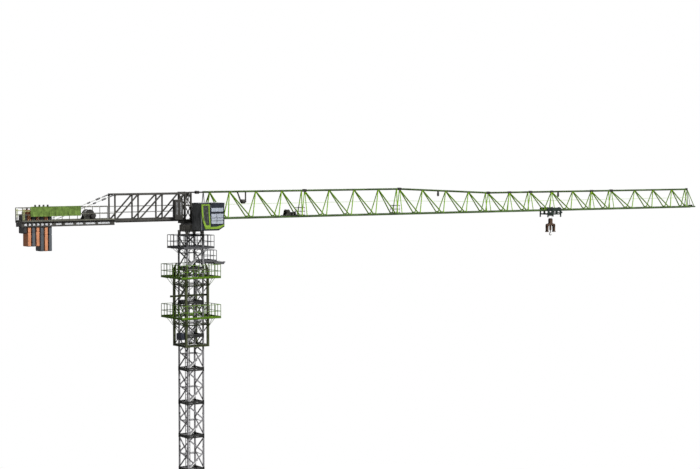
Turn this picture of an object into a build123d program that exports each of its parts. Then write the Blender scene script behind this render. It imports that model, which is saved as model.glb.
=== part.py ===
from build123d import *
from math import radians, sin, cos
import os

# Tower crane with a flat-topped jib, as a scale model of one half.
# X runs out along the jib, Z is up, and the origin lies on the ground at the mast's axis.
os.makedirs("parts", exist_ok=True)

# Mast
mast_side = 800
mast_post = 65
mast_brace, mast_brace_face = 32, 46
mast_ring = 40
ring_gap = 70
section_height = 1400
sections_low, sections_mid, sections_high = 3, 3, 4
base_height = 250
post_at = (mast_side - mast_post) / 2
mast_top = base_height + section_height * (sections_low + sections_mid + sections_high)

# Base
girder_width = 220
girder_half = 2000
foot_side = 460
foot_thickness = 40
anchor_hole = 30
anchor_offset = 130
strut_size = 90

# Climbing cage
cage_at = 512.5
cage_post = 100
cage_bar = 50
cage_bottom, cage_top = 9600, 12820
cage_foot = 100
ear_top = 13075
cage_levels = (0, 885, 1705, 2525, 3170)
shoe_levels = (885, 2525)
shoe_width = 60
platform_side = 1840
platform_floor = 30
platform_low, platform_high = 10785, 12450
platform_brace = 360
rail_height = 550
rail_post = 24
rail_bar = 16

# Platforms below the slewing gear
top_platform_side = 1450
top_platform_z = 13680
top_platform_brace = 240
top_rail_height = 535
feed_z = 13095
feed_rail_height = 475
feed_reach = 1020
feed_width = 600
arm_reach = 500
arm_at = 230
arm_depth = 60

# Slewing gear
running_gap = 0.3
support_leg, leg_side = 130, 100
support_box = 275
flange_height = 20
flange_radius = 430
hatch_side = 440
rib_width, rib_depth = 20, 30
rib_steps = (-240, -80, 80, 240)
corner_low, corner_clear = 50, 461
ring_radius, ring_bore = 420, 320
ring_height = 45
box_side = 750
turntable_height = 170
turntable_width = 600
ring_top = mast_top + support_leg + support_box + flange_height + ring_height
table_low = ring_top + running_gap
table_top = table_low + turntable_height

# Slewing tower
tower_back, tower_front = -450, -100
tower_post = 70
truss_width = 545
truss_depth = 1060
tower_rise = 1125

# Jib
chord_z = mast_top + 655
jib_start = 577
jib_width = 450
jib_depth = 1100
jib_depth_outer = 858
chord = 60
lace = 32
lug, lug_reach = 90, 105
tip_length = 310
foot_share = 0.71
lace_inset = 19

# Counter-jib
truss_posts = (-3610, -2570, -1475)
truss_chord, truss_post = 60, 50
truss_rails = (335, 575)
deck_start, deck_end = truss_posts[0] - truss_post / 2, -7660
beam_height, beam_width = 215, 40
beam_top = chord_z + 50
deck_plate = 16
walk_width = 700
slab_first, slab_pitch, slab_thickness = -7565, 178, 142
slab_width = 500
slab_drops = (-420, -935, -935, -935, -1135, -1135, -1135)
slab_rises = (335, 510, 510, 600, 600, 600, 600)
slot_reaches = ((-6204, -5946), (-5816, -5448), (-5317, -5016), (-4915, -4480), (-4374, -3842))
slot_z, slot_height = chord_z - 58, 56

# Cab
cab_rear, cab_front = -200, 925
cab_inner, cab_outer = -480, -1210
cab_bottom, cab_top = chord_z - 460, chord_z + 650
roof_thickness = 35
cab_wall = 20
door_left, door_right = -165, 255
door_low, door_high = chord_z - 340, chord_z + 630
door_thickness, pane_thickness = 25, 8
hinge_radius = 13
hinge_x = door_right + 8
hinge_y = cab_outer - 5 - door_thickness / 2
window_left, window_right = 310, 880
window_bands = ((-190, 235), (315, 475))

# Trolley and hook
trolley_x = 19300
trolley_length, trolley_width = 830, 600
trolley_plate = 20
trolley_rise, trolley_drop, leg_drop = 115, 220, 335
wheel_radius = 55
wheel_width = 40
block_top = chord_z - 400
sheave_radius = 75
sheave_z = block_top - 80
rope_size = 10
rope_at = sheave_radius + rope_size / 2 + running_gap
yoke_top, yoke_bottom = chord_z - 655, chord_z - 780
yoke_width = 125
housing_side, housing_bottom = 84, chord_z - 950
hook_bottom = chord_z - 1210
hook_outer, hook_inner = 75, 42
hook_thickness = 44


def bar(start, end, width, height=None):
    """A straight bar of square or flat section between two points."""
    start, end = Vector(*start), Vector(*end)
    run = end - start
    level = Vector(1, 0, 0) if abs(run.X) + abs(run.Y) < 1e-6 else Vector(0, 0, 1).cross(run)
    with BuildPart(Plane(origin=start, x_dir=level, z_dir=run)) as piece:
        Box(width, height or width, run.length, align=(Align.CENTER, Align.CENTER, Align.MIN))
    return piece.part


def block(x, y, z):
    """A box between two limits on each axis."""
    corner = (min(x), min(y), min(z))
    with BuildPart(Plane(origin=corner)) as piece:
        Box(abs(x[1] - x[0]), abs(y[1] - y[0]), abs(z[1] - z[0]), align=Align.MIN)
    return piece.part


def rod(start, end, radius):
    """A round bar between two points."""
    start, end = Vector(*start), Vector(*end)
    run = end - start
    with BuildPart(Plane(origin=start, z_dir=run)) as piece:
        Cylinder(radius, run.length, align=(Align.CENTER, Align.CENTER, Align.MIN))
    return piece.part


def save(piece, name):
    """Labels a finished piece and writes its file."""
    piece.part.label = name
    export_step(piece.part, f"parts/{name}.step")


def square_ring(half, z, size):
    """Four bars round a square."""
    corners = [(-half, -half, z), (half, -half, z), (half, half, z), (-half, half, z)]
    return [bar(corners[i], corners[(i + 1) % 4], size) for i in range(4)]


def railing(corners, floor, closed=True, height=rail_height):
    """Posts and two rails along a line of corners."""
    bars = []
    count = len(corners)
    runs = range(count if closed else count - 1)
    for i in runs:
        (ax, ay), (bx, by) = corners[i], corners[(i + 1) % count]
        for share in (0, 0.5):
            x, y = ax + (bx - ax) * share, ay + (by - ay) * share
            bars.append(bar((x, y, floor), (x, y, floor + height), rail_post))
        for level in (0.5, 1):
            z = floor + height * level - rail_bar / 2
            bars.append(bar((ax, ay, z), (bx, by, z), rail_bar))
    if not closed:
        x, y = corners[-1]
        bars.append(bar((x, y, floor), (x, y, floor + height), rail_post))
    return bars


# Base cross, on the diagonals under the mast posts
foot_at = girder_half * cos(radians(45))
with BuildPart() as base_cross:
    for angle in (45, 135):
        with BuildSketch(Plane.XY.rotated((0, 0, angle))):
            Rectangle(2 * girder_half, girder_width)
    extrude(amount=base_height)
    with Locations([(x * foot_at, y * foot_at) for x in (-1, 1) for y in (-1, 1)]):
        Box(foot_side, foot_side, foot_thickness, align=(Align.CENTER, Align.CENTER, Align.MIN))
    anchor_at = foot_at + anchor_offset
    with Locations([(x * anchor_at, y * anchor_at, foot_thickness) for x in (-1, 1) for y in (-1, 1)]):
        Hole(anchor_hole / 2, depth=foot_thickness)
save(base_cross, "base_cross")

# Raking struts from the girder ends to the first mast section
with BuildPart() as base_struts:
    strut_top = base_height + section_height * 0.93
    strut_foot = girder_half * 0.86 * cos(radians(45))
    strut_head = mast_side / 2 + strut_size / 2
    struts = []
    for x in (-1, 1):
        for y in (-1, 1):
            low = (x * strut_foot, y * strut_foot, base_height)
            high = (x * strut_head, y * strut_head, strut_top)
            struts.append(bar(low, high, strut_size))
    add(struts)
    trim = block((-3000, 3000), (-3000, 3000), (base_height, base_height + 3000))
    add(trim, mode=Mode.INTERSECT)
    mast_core = block((-mast_side / 2, mast_side / 2), (-mast_side / 2, mast_side / 2), (0, 3000))
    add(mast_core, mode=Mode.SUBTRACT)
save(base_struts, "base_struts")


def mast_section(z):
    """One square section: posts, frames at both ends and K braces on each side."""
    p, top = post_at, z + section_height
    bars = [bar((x * p, y * p, z), (x * p, y * p, top), mast_post) for x in (-1, 1) for y in (-1, 1)]
    for level in (z + ring_gap / 2, top - ring_gap / 2):
        bars += square_ring(p, level, mast_ring)
    middle = z + section_height / 2
    low, high = z + ring_gap, top - ring_gap
    apexes = [((-p, -p), (p, -p)), ((-p, p), (-p, -p)), ((p, -p), (p, p)), ((p, p), (-p, p))]
    for (ax, ay), (bx, by) in apexes:
        bars.append(bar((ax, ay, low), (bx, by, middle), mast_brace, mast_brace_face))
        bars.append(bar((ax, ay, high), (bx, by, middle), mast_brace, mast_brace_face))
    return bars


mast_z = base_height
for name, count in (("mast_lower", sections_low), ("mast_middle", sections_mid), ("mast_upper", sections_high)):
    with BuildPart() as mast:
        for i in range(count):
            add(mast_section(mast_z + i * section_height))
    mast_z += count * section_height
    save(mast, name)

# Ladder inside the mast, on the frames of its +Y side
ladder_y = post_at - mast_ring / 2 - 20
ladder_half = 100
with BuildPart() as mast_ladder:
    ladder_low, ladder_high = base_height + 150, mast_top - 60
    sides = (-ladder_half, ladder_half)
    bars = [bar((x, ladder_y, ladder_low), (x, ladder_y, ladder_high), 20, 40) for x in sides]
    ties = int((ladder_high - ladder_low) / (section_height / 2))
    for i in range(ties):
        z = ladder_low + (i + 0.5) * section_height / 2
        bars.append(bar((-ladder_half, ladder_y, z), (ladder_half, ladder_y, z), 14))
    add(bars)
save(mast_ladder, "mast_ladder")

# Climbing cage round the mast, held by shoes against its posts
with BuildPart() as climbing_cage:
    c, top = cage_at, cage_top
    bars = [bar((x * c, y * c, cage_bottom), (x * c, y * c, top), cage_post) for x in (-1, 1) for y in (-1, 1)]
    for level in cage_levels:
        bars += square_ring(c, cage_bottom + level + cage_bar / 2, cage_bar)
    bars += square_ring(c, cage_bottom + cage_foot / 2, cage_foot)
    for i in range(len(cage_levels) - 1):
        low, high = cage_bottom + cage_levels[i] + 40, cage_bottom + cage_levels[i + 1] + 20
        flip = 1 if i % 2 else -1
        for side in (-1, 1):
            bars.append(bar((side * c, -c * flip, low), (side * c, c * flip, high), cage_bar - 10))
        bars.append(bar((-c * flip, c, low), (c * flip, c, high), cage_bar - 10))
    for level in shoe_levels:
        z = cage_bottom + level
        for x in (-1, 1):
            for y in (-1, 1):
                shoe_x = (x * (post_at - shoe_width / 2), x * (post_at + shoe_width / 2))
                shoe_y = (y * (post_at - shoe_width / 2), y * (post_at + shoe_width / 2))
                reach = (mast_side / 2, c)
                bars.append(block(shoe_x, (y * reach[0], y * reach[1]), (z, z + cage_bar)))
                bars.append(block((x * reach[0], x * reach[1]), shoe_y, (z, z + cage_bar)))
    ear = mast_side / 2 + cage_bar * 0.75
    for x in (-1, 1):
        for y in (-1, 1):
            bars.append(bar((x * c, y * c, top - cage_bar), (x * ear, y * ear, ear_top), cage_bar))
    add(bars)
save(climbing_cage, "climbing_cage")


def ring_platform(side, hole, z, brace, height):
    """A ring floor with its railing and the braces below it."""
    half, inner = side / 2, hole / 2
    with BuildPart() as piece:
        with BuildSketch(Plane.XY.offset(z)):
            Rectangle(side, side)
            Rectangle(hole, hole, mode=Mode.SUBTRACT)
        extrude(amount=platform_floor)
        edge = half - rail_post / 2
        corners = [(-edge, -edge), (edge, -edge), (edge, edge), (-edge, edge)]
        bars = railing(corners, z + platform_floor, height=height)
        for s in (-1, 1):
            for t in (-1, 1):
                at = t * (inner - 40)
                bars.append(bar((s * (inner + 15), at, z - brace), (s * (half - 60), at, z + 10), 30))
                bars.append(bar((at, s * (inner + 15), z - brace), (at, s * (half - 60), z + 10), 30))
        add(bars)
        add(block((-inner, inner), (-inner, inner), (z - 600, z + 600)), mode=Mode.SUBTRACT)
    return piece


cage_outer = 2 * cage_at + cage_post
cage_floor = (platform_side, cage_outer)
save(ring_platform(*cage_floor, platform_low, platform_brace, rail_height), "cage_platform_lower")
save(ring_platform(*cage_floor, platform_high, platform_brace, rail_height), "cage_platform_upper")
top_floor = ring_platform(top_platform_side, mast_side, top_platform_z, top_platform_brace, top_rail_height)
save(top_floor, "top_platform")

# Feeding platform on the jib side with its two hoist arms
with BuildPart() as feed_platform:
    near, side = mast_side / 2, feed_width / 2
    add(block((near, feed_reach), (-side, side), (feed_z, feed_z + platform_floor)))
    edge, y = feed_reach - rail_post / 2, side - rail_post / 2
    line = [(near + 20, -y), (edge, -y), (edge, y), (near + 20, y)]
    add(railing(line, feed_z + platform_floor, False, feed_rail_height))
    for y in (-arm_at, arm_at):
        add(block((near, feed_reach + arm_reach), (y - 30, y + 30), (feed_z - arm_depth, feed_z)))
        hoist_rail = (feed_reach - 80, feed_reach + arm_reach - 60)
        add(block(hoist_rail, (y - 15, y + 15), (feed_z - 2 * arm_depth, feed_z - arm_depth)))
    add(block((near, near + 60), (-near, near), (feed_z - arm_depth, feed_z)))
save(feed_platform, "feed_platform")

# Climbing beam between the cage posts and the mast
beam_z = 11710
with BuildPart() as climbing_beam:
    beam_back = cage_at - cage_post / 2
    add(block((-1200, 600), (-beam_back, -mast_side / 2 - 5), (beam_z, beam_z + 80)))
save(climbing_beam, "climbing_beam")

# Pump unit on the lower ring of the cage
with BuildPart() as pump_unit:
    add(block((-cage_at - 230, -cage_at - cage_post / 2), (-500, -80), (cage_bottom + 319, cage_bottom + 630)))
save(pump_unit, "pump_unit")

# Lower slewing support: four corner legs, a ribbed box with its corners cut clear of the cab, the flange and a hatch
with BuildPart() as slewing_support:
    box_low = mast_top + support_leg
    box_high = box_low + support_box
    outer, inner, wall = mast_side / 2, mast_side / 2 - leg_side, box_side / 2
    parts = [block((-wall, wall), (-wall, wall), (box_low, box_high))]
    for x in (-1, 1):
        for y in (-1, 1):
            parts.append(block((x * inner, x * outer), (y * inner, y * outer), (mast_top, box_high)))
    for z in (box_low, box_high - rib_width):
        parts.append(block((-outer, outer), (-outer, outer), (z, z + rib_width)))
    for at in rib_steps:
        ends = (at - rib_width / 2, at + rib_width / 2)
        for s in (-1, 1):
            rib = (s * (wall - 5), s * (wall - 5 + rib_depth))
            parts.append(block(ends, rib, (box_low, box_high)))
            parts.append(block(rib, ends, (box_low, box_high)))
    add(parts)
    with BuildSketch(Plane.XY.offset(box_low + corner_low)):
        Rectangle(2 * outer, 2 * outer)
        Rectangle(2 * corner_clear, 2 * corner_clear, rotation=45, mode=Mode.SUBTRACT)
    extrude(amount=support_box - corner_low, mode=Mode.SUBTRACT)
    with BuildSketch(Plane.XY.offset(box_high)):
        Circle(flange_radius)
    extrude(amount=flange_height)
    hatch = (-hatch_side / 2, hatch_side / 2)
    add(block(hatch, hatch, (mast_top, ring_top)), mode=Mode.SUBTRACT)
save(slewing_support, "slewing_support")

# Slewing ring
with BuildPart() as slewing_ring:
    with BuildSketch(Plane.XY.offset(ring_top - ring_height)):
        Circle(ring_radius)
        Circle(ring_bore, mode=Mode.SUBTRACT)
    extrude(amount=ring_height)
save(slewing_ring, "slewing_ring")

# Turntable with the jib's lugs
with BuildPart() as turntable:
    width = (-turntable_width / 2, turntable_width / 2)
    add(block((tower_back, 500), width, (table_low, table_top)))
    with BuildSketch(Plane.XY.offset(table_low)):
        Circle(flange_radius)
    extrude(amount=60)
    for y in (-jib_width / 2, jib_width / 2):
        add(block((450, jib_start), (y - 30, y + 30), (chord_z - 60, chord_z + 40)))
    add(block((0, 300), (-150, 150), (table_low, table_top)), mode=Mode.SUBTRACT)
save(turntable, "turntable")

# Slewing tower above the turntable
tower_top = chord_z + tower_rise
with BuildPart() as slewing_tower:
    w, size = truss_width / 2, tower_post
    back, front = tower_back + size / 2, tower_front - size / 2
    bars = []
    for x in (back, front):
        for y in (-w, w):
            bars.append(bar((x, y, table_top), (x, y, tower_top), size))
        bars.append(bar((x, -w, tower_top - size / 2), (x, w, tower_top - size / 2), size))
        bars.append(bar((x, -w, chord_z + 300), (x, w, tower_top - 100), 40))
    for y in (-w, w):
        bars.append(bar((back, y, tower_top - size / 2), (front, y, tower_top - size / 2), size))
        for low, high in ((table_top + 30, chord_z + 560), (chord_z + 560, tower_top - 60)):
            bars.append(bar((back, y, low), (front, y, high), 40))
            bars.append(bar((back, y, high), (front, y, low), 40))
        bars.append(bar((back, y, chord_z + 560), (front, y, chord_z + 560), 50))
    add(bars)
save(slewing_tower, "slewing_tower")

# Electric cabinet beside the truss, on its lower chord
truss_side = (truss_width + truss_chord) / 2
with BuildPart() as cabinet:
    add(block((-1010, -625), (-520, -truss_side), (chord_z, chord_z + 820)))
save(cabinet, "cabinet")

# Cab shell: floor and four walls with openings for the door and windows
with BuildPart() as cab_shell:
    t = cab_wall
    add(block((cab_rear, cab_front), (cab_outer, cab_inner), (cab_bottom, cab_top)))
    add(block((cab_rear + t, cab_front - t), (cab_outer + t, cab_inner - t), (cab_bottom + t, cab_top + t)),
        mode=Mode.SUBTRACT)
    through = (cab_outer - t, cab_outer + 2 * t)
    door_hole = (door_left + 2 * t, door_right - t)
    add(block(door_hole, through, (door_low + 180, door_high - 40)), mode=Mode.SUBTRACT)
    for low, high in window_bands:
        add(block((window_left, window_right), through, (chord_z + low, chord_z + high)), mode=Mode.SUBTRACT)
    front_pane = (cab_outer + 60, cab_inner - 60)
    front_rise = (chord_z + window_bands[0][0], chord_z + window_bands[1][1])
    add(block((cab_front - 2 * t, cab_front + t), front_pane, front_rise), mode=Mode.SUBTRACT)
    for z in (cab_bottom + 340, cab_top - 200):
        add(block((hinge_x + hinge_radius + running_gap, hinge_x + 42), (hinge_y, cab_outer + 5), (z, z + 60)))
    # The lower front corner is cut back
    with BuildSketch(Plane.XZ.offset(-cab_inner)):
        with BuildLine():
            Polyline((cab_front + 10, cab_bottom - 10), (cab_front - 275, cab_bottom - 10),
                     (cab_front - 275, cab_bottom), (cab_front + 10, cab_bottom + 160),
                     (cab_front + 10, cab_bottom - 10))
        make_face()
    extrude(amount=cab_inner - cab_outer, mode=Mode.SUBTRACT)
save(cab_shell, "cab_shell")

with BuildPart() as cab_roof:
    add(block((cab_rear - 20, cab_front + 20), (cab_outer - 10, cab_inner + 10), (cab_top, cab_top + roof_thickness)))
save(cab_roof, "cab_roof")

# Door on the outer side: a frame with a curved rear edge round a thin pane, and its hinge tube
with BuildPart() as cab_door:
    with BuildSketch(Plane.XZ.offset(5 - cab_outer)) as door_face:
        with BuildLine():
            edge = [(door_left, door_high), (door_left + 15, chord_z + 250), (door_left + 60, chord_z - 20)]
            Polyline(*edge, (0, door_low), (door_right, door_low), (door_right, door_high), (door_left, door_high))
        make_face()
    extrude(amount=door_thickness)
    with BuildSketch(Plane.XZ.offset(5 - cab_outer + pane_thickness)):
        with BuildLine():
            edge = [(door_left + 65, door_high - 60), (door_left + 80, chord_z + 250), (door_left + 125, chord_z - 10)]
            Polyline(*edge, (60, door_low + 110), (door_right - 40, door_low + 110), (door_right - 60, door_high - 60),
                     (door_left + 65, door_high - 60))
        make_face()
    extrude(amount=door_thickness, mode=Mode.SUBTRACT)
    add(rod((hinge_x, hinge_y, door_low), (hinge_x, hinge_y, door_high), hinge_radius))
save(cab_door, "cab_door")

with BuildPart() as cab_glass:
    pane = (cab_outer + 5, cab_outer + 5 + pane_thickness)
    for low, high in window_bands:
        add(block((window_left, window_right), pane, (chord_z + low, chord_z + high)))
    add(block((cab_front - 5 - pane_thickness, cab_front - 5), front_pane, front_rise))
save(cab_glass, "cab_glass")

# Arms that carry the cab from the turntable, and the step below its floor
with BuildPart() as cab_mount:
    for x in (cab_rear + 60, 290):
        add(block((x, x + 60), (-turntable_width / 2, cab_inner), (table_low + 65, table_low + 140)))
    step_y = (-610, -590)
    for x in (115, 280):
        add(block((x, x + 20), step_y, (chord_z - 697, cab_bottom)))
    for z in (chord_z - 680, chord_z - 570):
        add(block((115, 300), step_y, (z, z + 20)))
save(cab_mount, "cab_mount")

# Counter-jib truss between the slewing tower and the deck
with BuildPart() as counter_jib_truss:
    w, high, low = truss_width / 2, chord_z + truss_depth, chord_z
    stations = truss_posts + (tower_back,)
    bars = []
    for y in (-w, w):
        for level in (high, low):
            bars.append(bar((deck_start, y, level), (tower_back, y, level), truss_chord))
        for x in truss_posts:
            bars.append(bar((x, y, low), (x, y, high), truss_post))
        for i in range(len(truss_posts)):
            bars.append(bar((stations[i], y, low), (stations[i + 1], y, high), 40))
        for rise in truss_rails:
            bars.append(bar((deck_start, y, chord_z + rise), (tower_back, y, chord_z + rise), rail_bar))
    for x in truss_posts:
        for level in (high, low):
            bars.append(bar((x, -w, level), (x, w, level), truss_post))
    bars.append(block((deck_start, tower_back), (-w, w), (chord_z + 14, chord_z + 14 + deck_plate)))
    add(bars)
    reach = block((deck_start, tower_back), (-truss_side, truss_side), (low - 200, high + 200))
    add(reach, mode=Mode.INTERSECT)
save(counter_jib_truss, "counter_jib_truss")

# Counter-jib deck: two slotted edge beams, cross beams and side walkways
with BuildPart() as counter_jib_deck:
    w, low = truss_width / 2, beam_top - beam_height
    bars = []
    for y in (-w, w):
        bars.append(block((deck_end, deck_start), (y - beam_width / 2, y + beam_width / 2), (low, beam_top)))
    slabs_end = slab_first + slab_pitch * len(slab_drops)
    for x in (deck_end, slabs_end + 30, -5911, -5412, -4995, -4457, deck_start - 60):
        bars.append(block((x, x + 60), (-w, w), (low + 20, beam_top - 20)))
    bars.append(block((slabs_end + 30, deck_start), (-w, w), (beam_top - deck_plate, beam_top)))
    for s in (-1, 1):
        bars.append(block((deck_end, deck_start), (s * w, s * walk_width / 2), (beam_top - deck_plate, beam_top)))
        for x in (deck_end, -7000, -6300, -5500, -4500, deck_start - 40):
            bars.append(block((x, x + 40), (s * w, s * walk_width / 2), (beam_top - 70, beam_top - deck_plate)))
    add(bars)
    with BuildSketch(Plane.XZ.offset(-walk_width / 2)) as slots:
        for x, next_x in slot_reaches:
            with Locations(((x + next_x) / 2, slot_z)):
                Rectangle(next_x - x, slot_height)
        chamfer(slots.vertices(), slot_height / 3)
        for i in range(len(slab_drops)):
            with Locations((slab_first + slab_thickness / 2 + i * slab_pitch, beam_top - 164)):
                Rectangle(44, 44)
    extrude(amount=walk_width, mode=Mode.SUBTRACT)
save(counter_jib_deck, "counter_jib_deck")

# Railings of the counter-jib: one along each side and one across the end
with BuildPart() as counter_jib_rails:
    y = walk_width / 2 - rail_post / 2
    end = deck_end + rail_post / 2
    line = (end + 50, -6700, -5500, -4585, deck_start - rail_post / 2)
    for s in (-1, 1):
        add(railing([(x, s * y) for x in line], beam_top, False))
    add(railing([(end, -y), (end, y)], beam_top, False))
save(counter_jib_rails, "counter_jib_rails")

# Raking stays from the truss head to the deck, with their turnbuckles
stay_foot, stay_size = -6300, 26
with BuildPart() as counter_jib_stays:
    bars = []
    for y in (-truss_width / 2, truss_width / 2):
        low = Vector(stay_foot, y, beam_top + 20)
        high = Vector(truss_posts[0] - 20, y, chord_z + truss_depth)
        bars.append(bar(low, high, stay_size))
        for start, end in ((0.11, 0.23), (0.35, 0.39)):
            bars.append(bar(high + (low - high) * start, high + (low - high) * end, 2 * stay_size))
        bars.append(block((stay_foot - 45, stay_foot + 60), (y - 20, y + 20), (beam_top, beam_top + 60)))
    add(bars)
    add(block((deck_end, deck_start), (-walk_width, walk_width), (beam_top, tower_top)), mode=Mode.INTERSECT)
save(counter_jib_stays, "counter_jib_stays")

# Bare sign panel on the near railing
with BuildPart() as sign_panel:
    add(block((-7319, -5156), (-walk_width / 2 - 20, -walk_width / 2), (chord_z + 246, chord_z + 641)))
save(sign_panel, "sign_panel")

# Hoist winch: two side frames, drum and gear
winch_x, drum_radius, drum_core, drum_half = -4673, 205, 150, 170
drum_shaft = 30
drum_z = chord_z + 275
frame_plate = 40
with BuildPart() as hoist_winch:
    for y in (-drum_half - 60, drum_half + 20):
        add(block((winch_x - 230, winch_x + 230), (y, y + frame_plate), (beam_top, drum_z + 60)))
    add(block((winch_x - 230, winch_x - 210), (-drum_half - 60, drum_half + 60), (beam_top, beam_top + 90)))
    with BuildSketch(Plane.XZ.offset(-drum_half - 100)):
        with Locations((winch_x, drum_z)):
            Circle(drum_shaft + running_gap)
    extrude(amount=2 * drum_half + 200, mode=Mode.SUBTRACT)
save(hoist_winch, "hoist_winch")

# Gear motor on the near side frame, standing on the walkway
motor_x, motor_z, motor_radius = -4575, chord_z + 233, 110
with BuildPart() as hoist_motor:
    add(rod((motor_x, -320, motor_z), (motor_x, -drum_half - 60, motor_z), motor_radius))
    add(block((motor_x - 70, motor_x + 70), (-310, -drum_half - 60), (beam_top, motor_z)))
save(hoist_motor, "hoist_motor")

with BuildPart() as hoist_drum:
    with BuildSketch(Plane.XZ.offset(-drum_half)):
        with Locations((winch_x, drum_z)):
            Circle(drum_core)
    extrude(amount=2 * drum_half)
    for side in (-drum_half, drum_half - 15):
        with BuildSketch(Plane.XZ.offset(side)):
            with Locations((winch_x, drum_z)):
                Circle(drum_radius)
        extrude(amount=15)
    with BuildSketch(Plane.XZ.offset(-drum_half - 55)):
        with Locations((winch_x, drum_z)):
            Circle(drum_shaft)
    extrude(amount=2 * drum_half + 110)
save(hoist_drum, "hoist_drum")


def counterweight(i):
    """A hanging slab whose two hanger bars rest on the deck's beams, with a lifting lug on top."""
    x, half = slab_first + i * slab_pitch, slab_width / 2
    middle = x + slab_thickness / 2
    top = chord_z + slab_rises[i]
    hanger = truss_width / 2 + beam_width / 2
    with BuildPart() as piece:
        add(block((x, x + slab_thickness), (-half, half), (chord_z + slab_drops[i], top)))
        add(block((middle - 25, middle + 25), (-hanger, hanger), (beam_top, beam_top + 60)))
        add(block((middle - 25, middle + 25), (-45, 45), (top, top + 100)))
    return piece.part


with BuildPart() as counterweights_orange:
    for i in range(1, len(slab_drops), 2):
        add(counterweight(i))
save(counterweights_orange, "counterweights_orange")

with BuildPart() as counterweights_grey:
    for i in range(0, len(slab_drops), 2):
        add(counterweight(i))
save(counterweights_grey, "counterweights_grey")


def jib_section(start, bays, depth_in, depth_out, lead=0):
    """A three-chord section from start on: an optional half bay, then bays given as lengths."""
    length, w = lead + sum(bays), jib_width / 2
    inner, inset = w - lace_inset, chord / 2
    slope = (depth_out - depth_in) / length
    bars = [bar((start, y, chord_z), (start + length, y, chord_z), chord) for y in (-w, w)]
    bars.append(bar((start, 0, chord_z + depth_in), (start + length, 0, chord_z + depth_out), chord))
    x = start + lead
    if lead:
        for y in (-inner, inner):
            bars.append(bar((start + inset, y, chord_z), (x, 0, chord_z + depth_in), lace))
            bars.append(bar((start + inset, y, chord_z), (start + inset, 0, chord_z + depth_in), chord - 10))
        bars.append(bar((start + inset, -w, chord_z), (start + inset, w, chord_z), chord))
    for bay in bays:
        top_here = chord_z + depth_in + slope * (x - start)
        foot = x + bay * foot_share
        for y in (-inner, inner):
            bars.append(bar((x, 0, top_here), (foot, y, chord_z), lace))
            bars.append(bar((foot, y, chord_z), (x + bay, 0, top_here + slope * bay), lace))
        bars.append(bar((foot, -w, chord_z), (foot, w, chord_z), lace))
        x += bay
    for end, depth in ((start, depth_in), (start + length, depth_out)):
        ends = (end - lug_reach, end + lug_reach)
        bars.append(block(ends, (-lug / 2, lug / 2), (chord_z + depth - lug / 2, chord_z + depth + lug / 2)))
        for s in (-1, 1):
            bars.append(block(ends, (s * (w - lug / 2), s * (w + inset)), (chord_z - lug / 2, chord_z + inset)))
    return bars


layout = (("jib_1", (965, 1285, 1290, 1135), jib_depth, jib_depth, 325),
          ("jib_2", (1280, 1300, 1290, 1130), jib_depth, jib_depth, 0),
          ("jib_3", (1280, 1300, 1290, 1130), jib_depth, jib_depth_outer, 0),
          ("jib_4", (1250, 1247), jib_depth_outer, jib_depth_outer, 0),
          ("jib_5", (1291, 1297, 1165, 1248), jib_depth_outer, jib_depth_outer, 0),
          ("jib_6", (1520, 1200, 1245, 1035), jib_depth_outer, jib_depth_outer, 0))
station = jib_start
for name, bays, depth_in, depth_out, lead in layout:
    reach = (station, station + lead + sum(bays))
    with BuildPart() as section:
        add(jib_section(station, bays, depth_in, depth_out, lead))
        add(block(reach, (-jib_width, jib_width), (chord_z - 200, chord_z + 1400)), mode=Mode.INTERSECT)
    station = reach[1]
    save(section, name)
jib_end = station

# Jib tip: short frame with its end cross bar
with BuildPart() as jib_tip:
    w = jib_width / 2
    tip = jib_end + tip_length
    bars = [bar((jib_end, y, chord_z), (tip, y, chord_z), chord) for y in (-w, w)]
    for y in (-w, w):
        bars.append(bar((tip - chord / 2, y, chord_z), (jib_end, 0, chord_z + jib_depth_outer), 40))
    bars.append(bar((tip - chord / 2, -w - 60, chord_z), (tip - chord / 2, w + 60, chord_z), chord))
    add(bars)
    add(block((jib_end, tip + chord), (-jib_width, jib_width), (0, tower_top)), mode=Mode.INTERSECT)
save(jib_tip, "jib_tip")

# Stay link from the slewing tower to the start of the top chord
with BuildPart() as jib_link:
    add(bar((tower_front - 20, 0, tower_top - tower_post / 2), (jib_start + 20, 0, chord_z + jib_depth), 40))
    add(block((tower_front, jib_start), (-100, 100), (chord_z, tower_top + 100)), mode=Mode.INTERSECT)
save(jib_link, "jib_link")

# Trolley winch on the lower chords of the first section
travel_x, travel_radius, travel_half = 4690, 100, 110
travel_shaft = 18
chord_top = chord_z + chord / 2
travel_z = chord_top + 170
with BuildPart() as trolley_winch:
    bed = jib_width / 2 - 10
    add(block((travel_x - 190, travel_x + 480), (-bed, bed), (chord_top, chord_top + 20)))
    add(block((travel_x + 220, travel_x + 430), (-120, 120), (chord_top + 20, chord_top + 170)))
    for y in (-travel_half - 40, travel_half + 15):
        add(block((travel_x - 120, travel_x + 120), (y, y + 25), (chord_top, travel_z + 45)))
    with BuildSketch(Plane.XZ.offset(-travel_half - 100)):
        with Locations((travel_x, travel_z)):
            Circle(travel_shaft + running_gap)
    extrude(amount=2 * travel_half + 200, mode=Mode.SUBTRACT)
save(trolley_winch, "trolley_winch")

with BuildPart() as trolley_drum:
    with BuildSketch(Plane.XZ.offset(-travel_half)):
        with Locations((travel_x, travel_z)):
            Circle(travel_radius)
    extrude(amount=2 * travel_half)
    with BuildSketch(Plane.XZ.offset(-travel_half - 38)):
        with Locations((travel_x, travel_z)):
            Circle(travel_shaft)
    extrude(amount=2 * travel_half + 76)
save(trolley_drum, "trolley_drum")

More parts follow.
